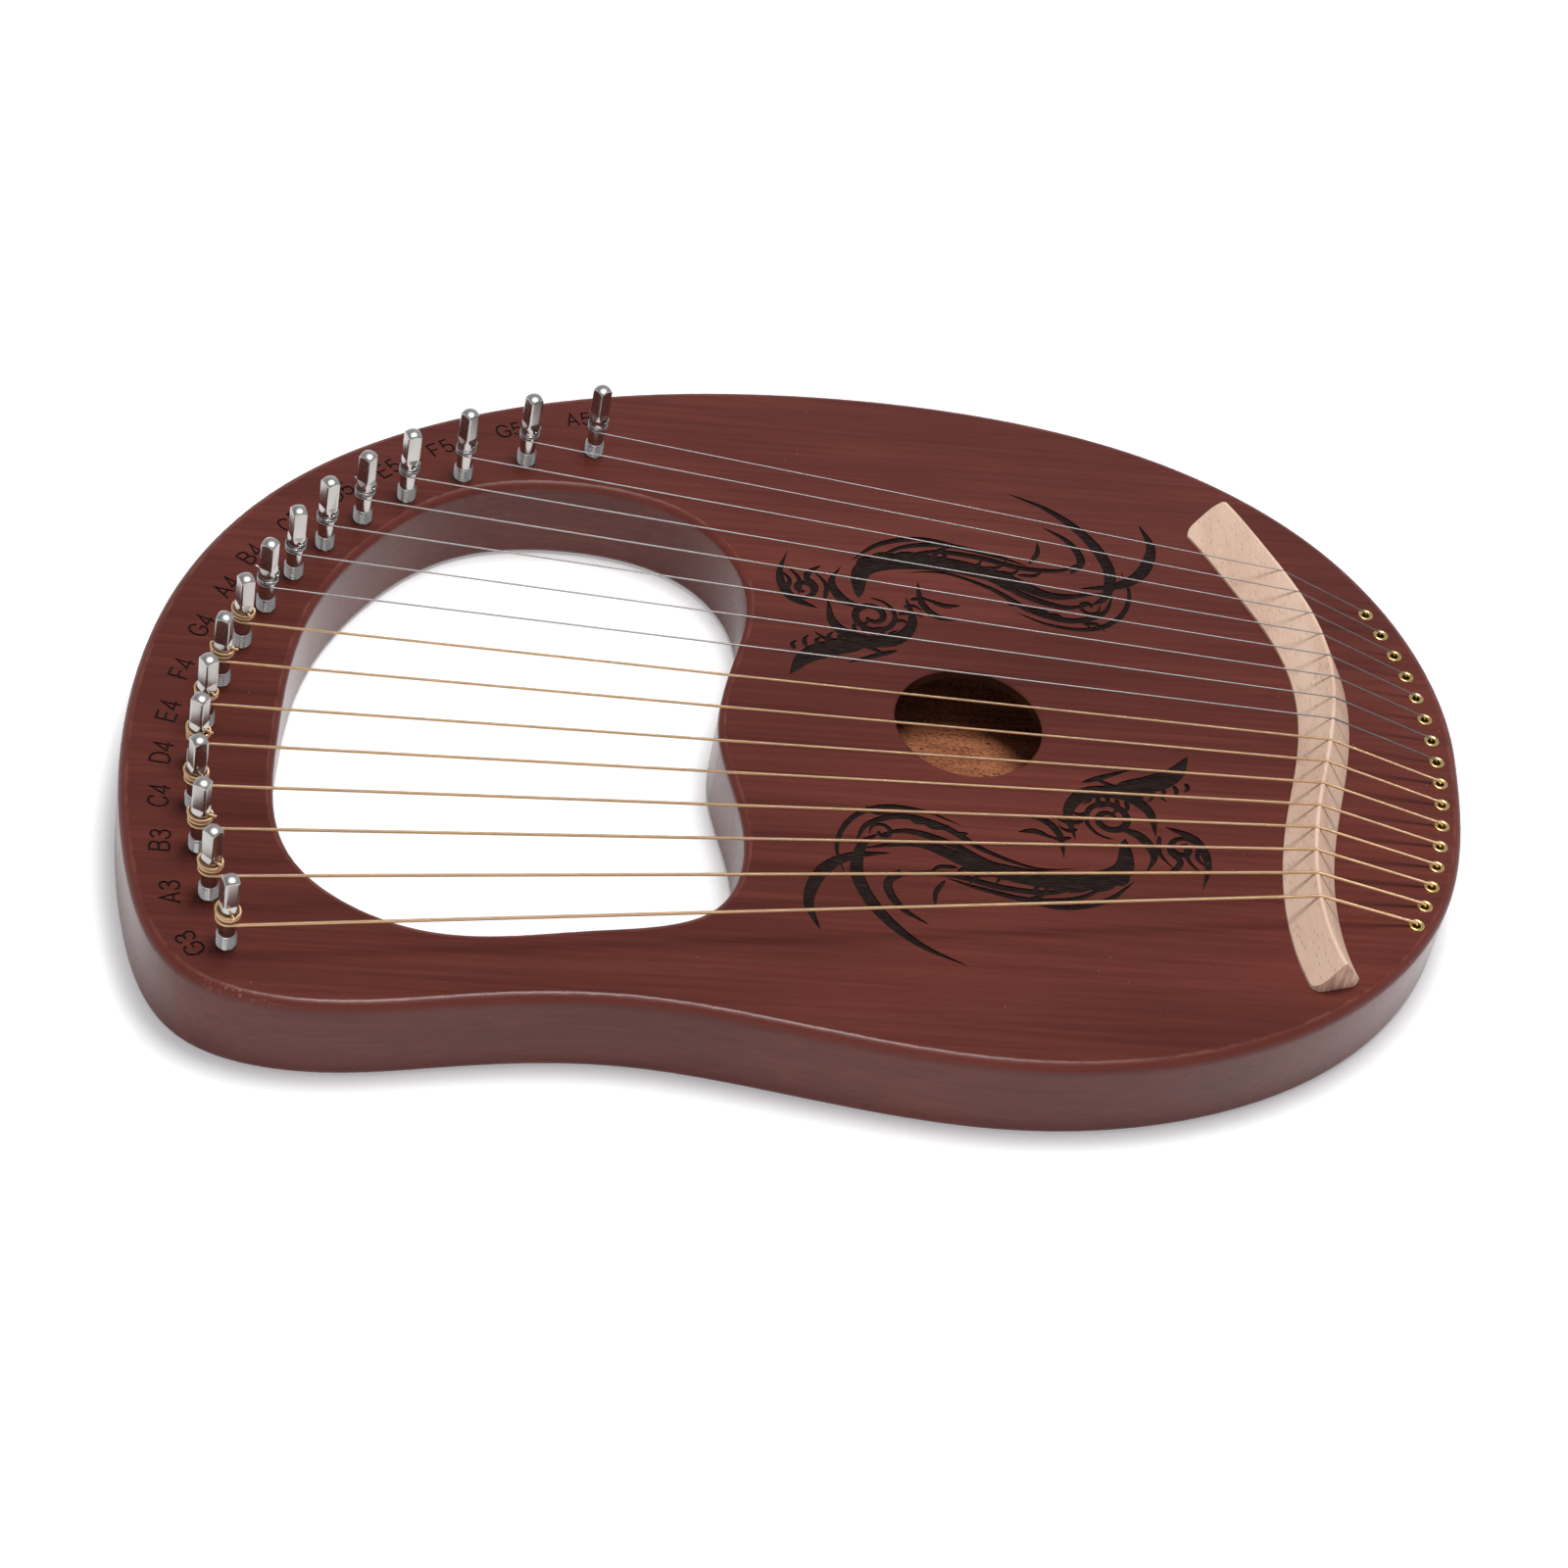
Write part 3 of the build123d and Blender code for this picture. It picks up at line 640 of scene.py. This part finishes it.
def wire_mesh(name, path, radius):
    """A closed round wire along a path. The distance along it is kept for its winding."""
    points = np.array(path, float)
    tangents = np.gradient(points, axis=0)
    tangents /= np.linalg.norm(tangents, axis=1)[:, None]
    lengths = np.concatenate([[0], np.cumsum(np.linalg.norm(np.diff(points, axis=0), axis=1))])
    angles = np.arange(WIRE_SIDES) * 2 * math.pi / WIRE_SIDES
    normal = np.cross(tangents[0], (0, 0, 1.0))
    vertices, along = [], []
    for point, tangent, length in zip(points, tangents, lengths):
        normal = normal - tangent * normal.dot(tangent)
        normal /= np.linalg.norm(normal)
        side = np.cross(tangent, normal)
        for angle in angles:
            vertices.append(point + radius * (math.cos(angle) * normal + math.sin(angle) * side))
            along.append(length)
    last = len(points) - 1
    faces = [face for ring in range(last) for face in ring_faces(ring, WIRE_SIDES)]
    first_tip = points[0] - tangents[0] * radius * WIRE_TIP_SHARE
    last_tip = points[-1] + tangents[-1] * radius * WIRE_TIP_SHARE
    for ring, tip in ((0, first_tip), (last, last_tip)):
        centre = len(vertices)
        vertices.append(tip)
        along.append(lengths[ring])
        for a, b, _, _ in ring_faces(ring, WIRE_SIDES):
            faces.append((b, a, centre) if ring == 0 else (a, b, centre))
    mesh = bpy.data.meshes.new(name)
    mesh.from_pydata([tuple(v) for v in vertices], [], faces)
    stored = mesh.attributes.new("along", "FLOAT", "POINT")
    stored.data.foreach_set("value", np.array(along, np.float32))
    mesh.shade_smooth()
    mesh.set_sharp_from_angle(angle=math.radians(WIRE_SHARP_DEGREES))
    return mesh


# ------------------------------ engraving
def stroke_triangles(left, right):
    """The strip between two lines of equally many points, as triangles."""
    strip = []
    for a, b, c, d in zip(left, left[1:], right, right[1:]):
        strip += [(a, b, c), (b, d, c)]
    return strip


def offset_stroke(points, half_widths):
    """The two edges of a stroke of changing width."""
    points = np.array(points, float)
    ahead = np.gradient(points, axis=0)
    ahead /= np.linalg.norm(ahead, axis=1)[:, None]
    across = np.stack([-ahead[:, 1], ahead[:, 0]], 1) * np.array(half_widths)[:, None]
    return points + across, points - across


def leaf(half_width, peak, points):
    """A stroke that swells to its widest at peak and tapers to a point at both ends."""
    line = smooth_path(points, LEAF_POINTS_PER_SPAN)
    power = math.log(0.5) / math.log(peak)
    along = np.linspace(0, 1, len(line))
    widths = [half_width * math.sin(math.pi * t**power) ** LEAF_FULLNESS for t in along]
    widths[0] = widths[-1] = 0.0
    return offset_stroke(line, widths)


def curl(centre, radius, start, turns, half_width):
    """A stroke that winds inwards."""
    line, widths = [], []
    for t in np.linspace(0, 1, round(CURL_POINTS_PER_TURN * abs(turns))):
        reach = radius * (1 - (1 - CURL_INNER_SHARE) * t)
        angle = math.radians(start + 360 * turns * t)
        line.append((centre[0] + reach * math.cos(angle), centre[1] + reach * math.sin(angle)))
        widths.append(half_width * math.sin(math.pi * (0.02 + 0.9 * t)) ** CURL_FULLNESS)
    widths[0] = 0.0
    return offset_stroke(line, widths)


def fringe(first, last, count, direction, length, bend):
    """Short curved barbs side by side, every other one shorter."""
    barbs = []
    for k in range(count):
        root = np.array(first) + (np.array(last) - np.array(first)) * k / (count - 1)
        turn = math.radians(direction + BARB_SWAY_DEGREES * math.sin(2.1 * k))
        ahead = np.array((math.cos(turn), math.sin(turn)))
        across = np.array((-math.sin(turn), math.cos(turn)))
        reach = length * (1.0 if k % 2 else SHORT_BARB_SHARE)
        middle = root + ahead * reach * 0.5 + across * bend
        barbs.append(leaf(BARB_HALF_WIDTH, BARB_PEAK, [root, middle, root + ahead * reach]))
    return barbs


def pen_stroke(points):
    """Edges of a pen line of even width. Its sharpest corners are cut back."""
    points = [np.array(p, float) for p in points]
    left, right = [], []
    for k, point in enumerate(points):
        before = points[k] - points[k - 1] if k else points[1] - points[0]
        after = points[k + 1] - points[k] if k < len(points) - 1 else before
        before, after = before / np.linalg.norm(before), after / np.linalg.norm(after)
        mean = before + after
        mean /= max(np.linalg.norm(mean), 0.3)
        miter = LETTER_STROKE_MM / max(mean.dot(before), 0.35)
        across = np.array([-mean[1], mean[0]]) * miter
        left.append(point + across)
        right.append(point - across)
    return left, right


def label_strokes(text, centre, turn):
    """Pen lines of a note's name, centred on a place and turned to read along the pin line."""
    widths = [
        max(x for line in GLYPHS[letter] for x, _ in line) * LETTER_HEIGHT_MM for letter in text
    ]
    start = -(sum(widths) + LETTER_GAP_MM * (len(text) - 1)) / 2
    c, s = math.cos(math.radians(turn)), math.sin(math.radians(turn))
    strokes = []
    for letter, width in zip(text, widths):
        for line in GLYPHS[letter]:
            flat = [(start + x * LETTER_HEIGHT_MM, (y - 0.5) * LETTER_HEIGHT_MM) for x, y in line]
            placed = [(centre[0] + c * x - s * y, centre[1] + s * x + c * y) for x, y in flat]
            strokes.append(pen_stroke(placed))
        start += width + LETTER_GAP_MM
    return strokes


def half_turned(edges):
    return tuple(2 * np.array(FLOURISH_CENTRE) - np.array(edge) for edge in edges)


def pin_axis(name):
    low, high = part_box(f"tuning_pin_{name}")
    return (low + high) / 2


def engraving():
    """Every engraved stroke as its two edges, in millimetres on the board, with its depth."""
    flourish = [leaf(*parts) for parts in LEAVES] + [curl(*parts) for parts in CURLS]
    for parts in FRINGES:
        flourish += fringe(*parts)
    strokes = [(edges, ENGRAVING_DEPTH_MM) for edges in flourish]
    strokes += [(half_turned(edges), ENGRAVING_DEPTH_MM) for edges in flourish]
    for name, (dx, dy, turn) in LABELS.items():
        pin = pin_axis(name) / MM
        lines = label_strokes(name, (pin.x + dx, pin.y + dy), turn)
        strokes += [(edges, LABEL_DEPTH_MM) for edges in lines]
    return strokes


def covered(points, triangles):
    """Which points lie in any of the triangles."""
    found = np.zeros(len(points), bool)
    for a, b, c in triangles:
        a, b, c = np.array(a), np.array(b), np.array(c)
        low, high = np.minimum(np.minimum(a, b), c), np.maximum(np.maximum(a, b), c)
        near = np.nonzero(((points >= low) & (points <= high)).all(1) & ~found)[0]
        if not len(near):
            continue
        x, y = points[near].T
        sides = np.array([
            (end[0] - start[0]) * (y - start[1]) - (end[1] - start[1]) * (x - start[0])
            for start, end in ((a, b), (b, c), (c, a))
        ])
        found[near[(sides >= 0).all(0) | (sides <= 0).all(0)]] = True
    return found


def engraved_outlines(points, edges):
    """Adds the strokes' outlines to points and edges. Returns their triangles by depth."""
    strips = {ENGRAVING_DEPTH_MM: [], LABEL_DEPTH_MM: []}
    for (left, right), depth in engraving():
        strips[depth] += stroke_triangles(left, right)
        for line in (left, right):
            first = len(points)
            points += [Vector(p) for p in line]
            edges += [(k, k + 1) for k in range(first, len(points) - 1)]
        end, count = len(points), len(left)
        edges += [(end - 2 * count, end - count), (end - count - 1, end - 1)]
    return strips


def engraved_soundboard():
    """The soundboard with its flat top cut by the engraving, and otherwise as in the CAD model."""
    board = bmesh.new()
    board.from_mesh(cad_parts["soundboard"].data)
    bmesh.ops.remove_doubles(board, verts=board.verts, dist=WELD)
    flat = [
        face for face in board.faces
        if all(corner.co.z > BOARD_TOP - WELD for corner in face.verts)
    ]
    flat.sort(key=lambda face: face.index)
    top = set(flat)
    rim_edges = [edge for edge in board.edges if sum(f in top for f in edge.link_faces) == 1]
    rim = list({corner for edge in rim_edges for corner in edge.verts})
    rim.sort(key=lambda corner: corner.index)
    order = {corner: k for k, corner in enumerate(rim)}
    top_triangles = [[corner.co.xy / MM for corner in face.verts] for face in flat]

    points = [corner.co.xy / MM for corner in rim]
    edges = [tuple(order[corner] for corner in edge.verts) for edge in rim_edges]
    strips = engraved_outlines(points, edges)
    flat_points, _, triangles, origins, _, _ = delaunay_2d_cdt(points, edges, [], 0, 1e-5)

    centres = np.array([sum((flat_points[k] for k in t), Vector((0, 0))) / 3 for t in triangles])
    kept = covered(centres, top_triangles)
    depths = np.where(covered(centres, strips[LABEL_DEPTH_MM]), LABEL_DEPTH_MM, 0.0)
    in_flourish = covered(centres, strips[ENGRAVING_DEPTH_MM])
    depths = np.where(in_flourish, ENGRAVING_DEPTH_MM, depths)

    bmesh.ops.delete(board, geom=flat, context="FACES_ONLY")
    corners = {}

    def corner_at(k, depth):
        if (k, depth) not in corners:
            old = [o for o in origins[k] if o < len(rim)]
            if depth == 0 and old:
                corners[k, depth] = rim[old[0]]
            else:
                x, y = flat_points[k]
                corners[k, depth] = board.verts.new((x * MM, y * MM, BOARD_TOP - depth * MM))
        return corners[k, depth]

    depth_beside = {}
    for triangle, inside, depth in zip(triangles, kept, depths):
        if inside:
            face = board.faces.new([corner_at(k, depth) for k in triangle])
            face.material_index = 1 if depth else 0
            for k in range(3):
                depth_beside[triangle[k], triangle[(k + 1) % 3]] = depth
    for (a, b), depth in depth_beside.items():
        other = depth_beside.get((b, a), depth)
        if depth > other:
            wall = ((a, other), (b, other), (b, depth), (a, depth))
            board.faces.new([corner_at(*corner) for corner in wall]).material_index = 1
    for loose in [edge for edge in board.edges if not edge.link_faces]:
        board.edges.remove(loose)
    for loose in [corner for corner in board.verts if not corner.link_faces]:
        board.verts.remove(loose)
    board_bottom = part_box("soundboard")[0].z
    board.normal_update()
    for face in board.faces:
        if face.normal.z < -0.5 and face.calc_center_median().z < board_bottom + WELD:
            face.material_index = 2
    mesh = bpy.data.meshes.new("engraved_soundboard")
    board.to_mesh(mesh)
    board.free()
    settle_normals(mesh)
    return mesh


def settle_normals(mesh):
    """Smooth shading with sharp edges. The flat top stays flat up to its round-over."""
    if "custom_normal" in mesh.attributes:
        mesh.attributes.remove(mesh.attributes["custom_normal"])
    mesh.shade_smooth()
    mesh.set_sharp_from_angle(angle=math.radians(BOARD_SHARP_DEGREES))
    normals = [Vector(corner.vector) for corner in mesh.corner_normals]
    for polygon in mesh.polygons:
        if polygon.normal.z > 0.85:
            for corner in polygon.loop_indices:
                if mesh.vertices[mesh.loops[corner].vertex_index].co.z > BOARD_TOP - WELD:
                    normals[corner] = Vector((0, 0, 1))
    mesh.normals_split_custom_set(normals)


BOARD_FINISHES = (LACQUERED, BURNT, RAW_BOARD)
add_piece(
    "engraved_soundboard", engraved_soundboard(), BOARD_FINISHES, "body",
    ["soundboard"],
)


# ------------------------------ tuning pins
def soft_least(a, b):
    """The smaller of two sizes, with the corner between them rounded off."""
    near = max(EDGE_SOFTNESS_MM - abs(a - b), 0.0) / EDGE_SOFTNESS_MM
    return min(a, b) - near * near * EDGE_SOFTNESS_MM / 4


def between(value, low, high):
    return min(1.0, max(0.0, (value - low) / (high - low)))


def round_radius(height):
    """Radius of a pin before its head is squared, without the thread's ridges."""
    if height > PIN_TOP_MM - HEAD_DOME_MM:
        ball = (HEAD_MM**2 + HEAD_DOME_MM**2) / (2 * HEAD_DOME_MM)
        down = PIN_TOP_MM - height
        return math.sqrt(max(0.0, 2 * ball * down - down * down))
    if height < THREAD_FROM_MM:
        taper = between(height, -PIN_DEPTH_MM + TIP_HEIGHT_MM, -PIN_DEPTH_MM)
        return THREAD_MM - TIP_TAPER_MM * taper
    waist = between(height, NECK_FROM_MM - NECK_STEP_MM, NECK_FROM_MM)
    waist *= between(height, NECK_TO_MM + NECK_STEP_MM, NECK_TO_MM)
    swell = between(height, HEAD_START_MM, HEAD_ROUND_MM)
    return SHANK_MM + (NECK_MM - SHANK_MM) * waist + (HEAD_MM - SHANK_MM) * swell


def pin_radius(height, angle):
    """Radius of a pin with its thread and its squared head, in one direction from its axis."""
    radius = round_radius(height)
    if THREAD_FROM_MM <= height <= THREAD_TO_MM:
        turns = height / THREAD_PITCH_MM - angle / (2 * math.pi)
        ridge = abs(2 * (turns % 1.0) - 1) ** THREAD_SHARPNESS
        crest = THREAD_MM + (THREAD_ABOVE_BOARD_MM - THREAD_MM) * between(height, 0.05, 0.5)
        run_out = between(height, THREAD_TO_MM, THREAD_TO_MM - THREAD_RUN_OUT_MM)
        return SHANK_MM + (crest - SHANK_MM) * ridge * run_out
    if height > HEAD_START_MM:
        drop = between(height, HEAD_START_MM, HEAD_FULL_MM)
        first = HEAD_MM + HEAD_FLAT_START_MM
        flat = first + (HEAD_HALF_SQUARE_MM - HEAD_MM - HEAD_FLAT_START_MM) * drop
        off_flat = (angle + math.pi / 4) % (math.pi / 2) - math.pi / 4
        return soft_least(radius, flat / math.cos(off_flat))
    return radius


def pin_levels():
    """Heights of the rings that make a pin, closest together where its shape changes fastest."""
    tip = [-PIN_DEPTH_MM, -PIN_DEPTH_MM + TIP_HEIGHT_MM, THREAD_FROM_MM - 0.05]
    thread = list(np.arange(THREAD_FROM_MM, THREAD_TO_MM + 0.01, THREAD_PITCH_MM / 8))
    neck = [NECK_FROM_MM - NECK_STEP_MM, NECK_FROM_MM, 6.2, 7.8]
    neck += [NECK_TO_MM, NECK_TO_MM + NECK_STEP_MM]
    shoulder = [HEAD_START_MM - 0.05, *np.linspace(HEAD_START_MM, HEAD_FULL_MM, 22)]
    head = list(np.linspace(HEAD_FULL_MM + 0.4, PIN_TOP_MM - HEAD_DOME_MM - 0.6, 5))
    start = PIN_TOP_MM - HEAD_DOME_MM - 0.45
    quarter = math.pi / 2 * np.linspace(0, 0.985, 26)
    crown = [start + (PIN_TOP_MM - start) * math.sin(angle) for angle in quarter]
    return tip + thread + neck + shoulder + head + crown


def pin_mesh():
    """One pin on the Z axis, the board's top at z = 0, with a cross hole for the wire's end."""
    levels = pin_levels()
    vertices = []
    for height in levels:
        for k in range(PIN_SIDES):
            angle = 2 * math.pi * k / PIN_SIDES
            radius = pin_radius(height, angle)
            x, y = radius * math.cos(angle), radius * math.sin(angle)
            vertices.append((x * MM, y * MM, height * MM))
    last = len(levels) - 1
    faces = [face for ring in range(last) for face in ring_faces(ring, PIN_SIDES)]
    tip, crown = len(vertices), len(vertices) + 1
    vertices += [(0, 0, -PIN_DEPTH_MM * MM), (0, 0, PIN_TOP_MM * MM)]
    faces += [(b, a, tip) for a, b, _, _ in ring_faces(0, PIN_SIDES)]
    faces += [(a, b, crown) for a, b, _, _ in ring_faces(last, PIN_SIDES)]
    mesh = bpy.data.meshes.new("tuning_pin")
    mesh.from_pydata(vertices, [], faces)
    return drilled(mesh)


def drilled(mesh):
    """The pin with its cross hole, along Y."""
    drill = bmesh.new()
    turn = Matrix.Translation((0, 0, EYE_HEIGHT_MM * MM)) @ Matrix.Rotation(math.pi / 2, 4, "X")
    bmesh.ops.create_cone(
        drill, cap_ends=True, segments=EYE_SIDES, radius1=EYE_MM * MM, radius2=EYE_MM * MM,
        depth=4 * HEAD_MM * MM, matrix=turn,
    )
    drill_mesh = bpy.data.meshes.new("drill")
    drill.to_mesh(drill_mesh)
    drill.free()
    pin = bpy.data.objects.new("pin_blank", mesh)
    cutter = bpy.data.objects.new("pin_drill", drill_mesh)
    for made in (pin, cutter):
        bpy.context.scene.collection.objects.link(made)
    cut = pin.modifiers.new("eye", "BOOLEAN")
    cut.object = cutter
    cut.solver = "EXACT"
    bpy.context.view_layer.update()
    cut_pin = pin.evaluated_get(bpy.context.evaluated_depsgraph_get())
    result = bpy.data.meshes.new_from_object(cut_pin)
    result.name = "tuning_pin"
    for made in (pin, cutter):
        bpy.data.objects.remove(made)
    result.shade_smooth()
    result.set_sharp_from_angle(angle=math.radians(PIN_SHARP_DEGREES))
    return result


PIN_MESH = pin_mesh()


# ------------------------------ string ends
def string_start(name):
    """Centre and radius of a string's cut end at its pin, and the pin's axis."""
    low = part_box(f"string_{name}")[0]
    corners = [v.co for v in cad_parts[f"string_{name}"].data.vertices if v.co.x < low.x + MM]
    centre = sum(corners, Vector()) / len(corners)
    radius = max((corner - centre).length for corner in corners)
    return centre, radius, pin_axis(name)


def turned_points(axis, first_angle, degrees, radius_at, height_at):
    """Points of a wire that winds clockwise, seen from above, through a range of turned degrees."""
    line = []
    for turned in degrees:
        angle = first_angle - math.radians(turned)
        reach = radius_at(turned)
        x, y = axis.x + reach * math.cos(angle), axis.y + reach * math.sin(angle)
        line.append((x, y, height_at(turned)))
    return line


def string_wrap(name):
    """The string's last part, which stays with the body: half way round the pin."""
    start, radius, axis = string_start(name)
    offset = (start - axis).xy
    first = math.atan2(offset.y, offset.x)
    degrees = np.arange(0, WRAP_DEGREES + 1, DEGREES_PER_POINT)
    return wire_mesh(
        f"string_wrap_{name}",
        turned_points(axis, first, degrees, lambda _: offset.length, lambda _: start.z),
        radius,
    )


def string_coil(name, pin_turn, chance):
    """The uneven turns wound on the pin, and the wire's end through the pin's cross hole."""
    start, radius, axis = string_start(name)
    offset = (start - axis).xy
    first = math.atan2(offset.y, offset.x)
    plain = name in PLAIN_NOTES
    least = COIL_FROM_DEGREES + 360 * COIL_LEAST_TURNS["plain" if plain else "wound"]
    hole = pin_turn + 90
    last = least + (math.degrees(first) - least - hole) % 180
    low = start.z + 2 * radius + TURN_GAP_MM * MM
    pitch = PLAIN_PITCH_MM * MM if plain else 2 * radius * WOUND_PITCH_SHARE
    top = BOARD_TOP + EYE_HEIGHT_MM * MM
    wave, phase = chance.uniform(0.5, 1.0), chance.uniform(0, 2 * math.pi)
    spread = chance.uniform(0.10, 0.22) if plain else chance.uniform(0.22, 0.42)

    def height_at(turned):
        share = between(turned, COIL_FROM_DEGREES, last)
        wound = low + pitch * (turned - COIL_FROM_DEGREES) / 360
        wound += share * COIL_UNEVEN_MM * MM * wave * (1 + math.sin(math.radians(turned) + phase))
        climb = between(turned, last - CLIMB_DEGREES, last - CLIMB_ENDS_BEFORE_DEGREES)
        climb = climb * climb * (3 - 2 * climb)
        return wound + (top - wound) * climb

    def radius_at(turned):
        inner = COIL_FROM_DEGREES + LOOSE_FROM_ENDS_DEGREES, last - LOOSE_FROM_ENDS_DEGREES
        surface = round_radius((height_at(turned) - BOARD_TOP) / MM) * MM
        loose = spread * between(turned, *inner)
        loose *= 1 + 0.5 * math.sin(1.7 * math.radians(turned) + phase)
        return surface + WIRE_GAP_MM * MM + radius * (1 + max(0.0, loose))

    degrees = np.arange(COIL_FROM_DEGREES, last - COIL_ENDS_BEFORE_DEGREES, DEGREES_PER_POINT)
    line = turned_points(axis, first, degrees, radius_at, height_at)
    into = first - math.radians(last)
    outward = np.array((math.cos(into), math.sin(into), 0))
    centre = np.array((axis.x, axis.y, top))
    reach = radius_at(last)
    through = [centre + outward * (reach * share) for share in (1.0, 0.62, 0, -0.7)]
    lift = np.array((0, 0, WIRE_END_LIFT_MM * MM))
    tail = centre - outward * (reach + WIRE_END_MM * MM) + lift
    line += smooth_path([line[-1], *through, tail], 6)[1:]
    return wire_mesh(f"string_coil_wound_{name}", line, radius)


chance = random.Random(16)
for name, turn in zip(NOTES, PIN_TURNS):
    axis = pin_axis(name)
    place = Matrix.Translation((axis.x, axis.y, BOARD_TOP))
    place = place @ Matrix.Rotation(math.radians(turn), 4, "Z")
    body = f"pin_{name}"
    add_piece(
        f"square_pin_{name}", PIN_MESH, [NICKEL], body, [f"tuning_pin_{name}"], place
    )
    plain = name in PLAIN_NOTES
    finish = PLAIN_COILED if plain else WOUND_COILED
    coil = string_coil(name, turn, chance)
    add_piece(f"string_coil_wound_{name}", coil, [finish], body, [f"string_coil_{name}"])
    add_piece(f"string_wrap_{name}", string_wrap(name), [finish], "body")


# ------------------------------ studio
FLOOR_SIDE = 6.0
FLOOR_LEVEL = -0.0002
FLOOR_GLOW = 0.26
FLOOR_PAPER = (0.0, (0.86, 0.86, 0.86)), (1.0, (0.88, 0.88, 0.88))
CAMERA_AT = (-0.17467, -0.81787, 0.81695)
CAMERA_LENS = 94.5
CAMERA_AZIMUTH = -11.99
CAMERA_ELEVATION = 44.64
CAMERA_ROLL = 12.26
CAMERA_SHIFT = 0.0008
# Each light: its place, size and power. All of them aim at the origin.
LIGHTS = {
    "key": ((0.1, 0.16, 1.7), (0.6, 0.6), 25),
    "front_fill": ((-0.5, -1.9, 0.7), (1.6, 0.6), 4),
}
# The world's shade by height, from level to straight up.
WORLD = (
    (0.0, (0.60, 0.62, 0.66)), (0.60, (0.42, 0.44, 0.49)), (0.71, (0.08, 0.08, 0.08)),
    (0.85, (0.10, 0.10, 0.10)), (1.0, (0.45, 0.45, 0.45)),
)


def floor():
    mesh = bpy.data.meshes.new("floor")
    half = FLOOR_SIDE / 2
    corners = ((-half, -half), (half, -half), (half, half), (-half, half))
    mesh.from_pydata([(x, y, FLOOR_LEVEL) for x, y in corners], [], [(0, 1, 2, 3)])
    made = bpy.data.objects.new("floor", mesh)
    bpy.context.scene.collection.objects.link(made)
    paper, tree, shader = new_material("floor_paper", Roughness=0.9, Specular_IOR_Level=0.1)
    plug(tree, shader.inputs["Base Color"], ramp(tree, noise(tree, (3, 3, 3)), FLOOR_PAPER))
    shader.inputs["Emission Color"].default_value = (1, 1, 1, 1)
    shader.inputs["Emission Strength"].default_value = FLOOR_GLOW
    mesh.materials.append(paper)


def area_light(name, place, size, power):
    data = bpy.data.lights.new(name, "AREA")
    data.shape = "RECTANGLE"
    data.size, data.size_y = size
    data.energy = power
    made = bpy.data.objects.new(name, data)
    bpy.context.scene.collection.objects.link(made)
    made.location = place
    made.rotation_mode = "QUATERNION"
    made.rotation_quaternion = (-Vector(place)).to_track_quat("-Z", "Y")


def camera():
    data = bpy.data.cameras.new("camera")
    data.lens = CAMERA_LENS
    data.sensor_width = 36.0
    data.shift_x = CAMERA_SHIFT
    data.shift_y = CAMERA_SHIFT
    data.clip_start, data.clip_end = 0.01, 20.0
    made = bpy.data.objects.new("camera", data)
    bpy.context.scene.collection.objects.link(made)
    a, e = math.radians(CAMERA_AZIMUTH), math.radians(CAMERA_ELEVATION)
    back = Vector((math.sin(a) * math.cos(e), -math.cos(a) * math.cos(e), math.sin(e)))
    made.rotation_mode = "QUATERNION"
    level = (-back).to_track_quat("-Z", "Y")
    roll = Matrix.Rotation(math.radians(CAMERA_ROLL), 3, "Z").to_quaternion()
    made.rotation_quaternion = level @ roll
    made.location = CAMERA_AT
    bpy.context.scene.camera = made


def studio_world():
    """Pale low down and overhead. The dark band between them keeps the lacquer deep in colour."""
    world = bpy.data.worlds.new("studio")
    bpy.context.scene.world = world
    world.use_nodes = True
    tree = world.node_tree
    direction = tree.nodes.new("ShaderNodeTexCoord").outputs["Generated"]
    height = node(tree, "ShaderNodeSeparateXYZ", (direction,)).outputs[2]
    background = tree.nodes["Background"]
    plug(tree, background.inputs["Color"], ramp(tree, height, WORLD))
    background.inputs["Strength"].default_value = 1.0


floor()
camera()
for name, settings in LIGHTS.items():
    area_light(name, *settings)
studio_world()
bpy.context.scene.view_settings.view_transform = "Standard"
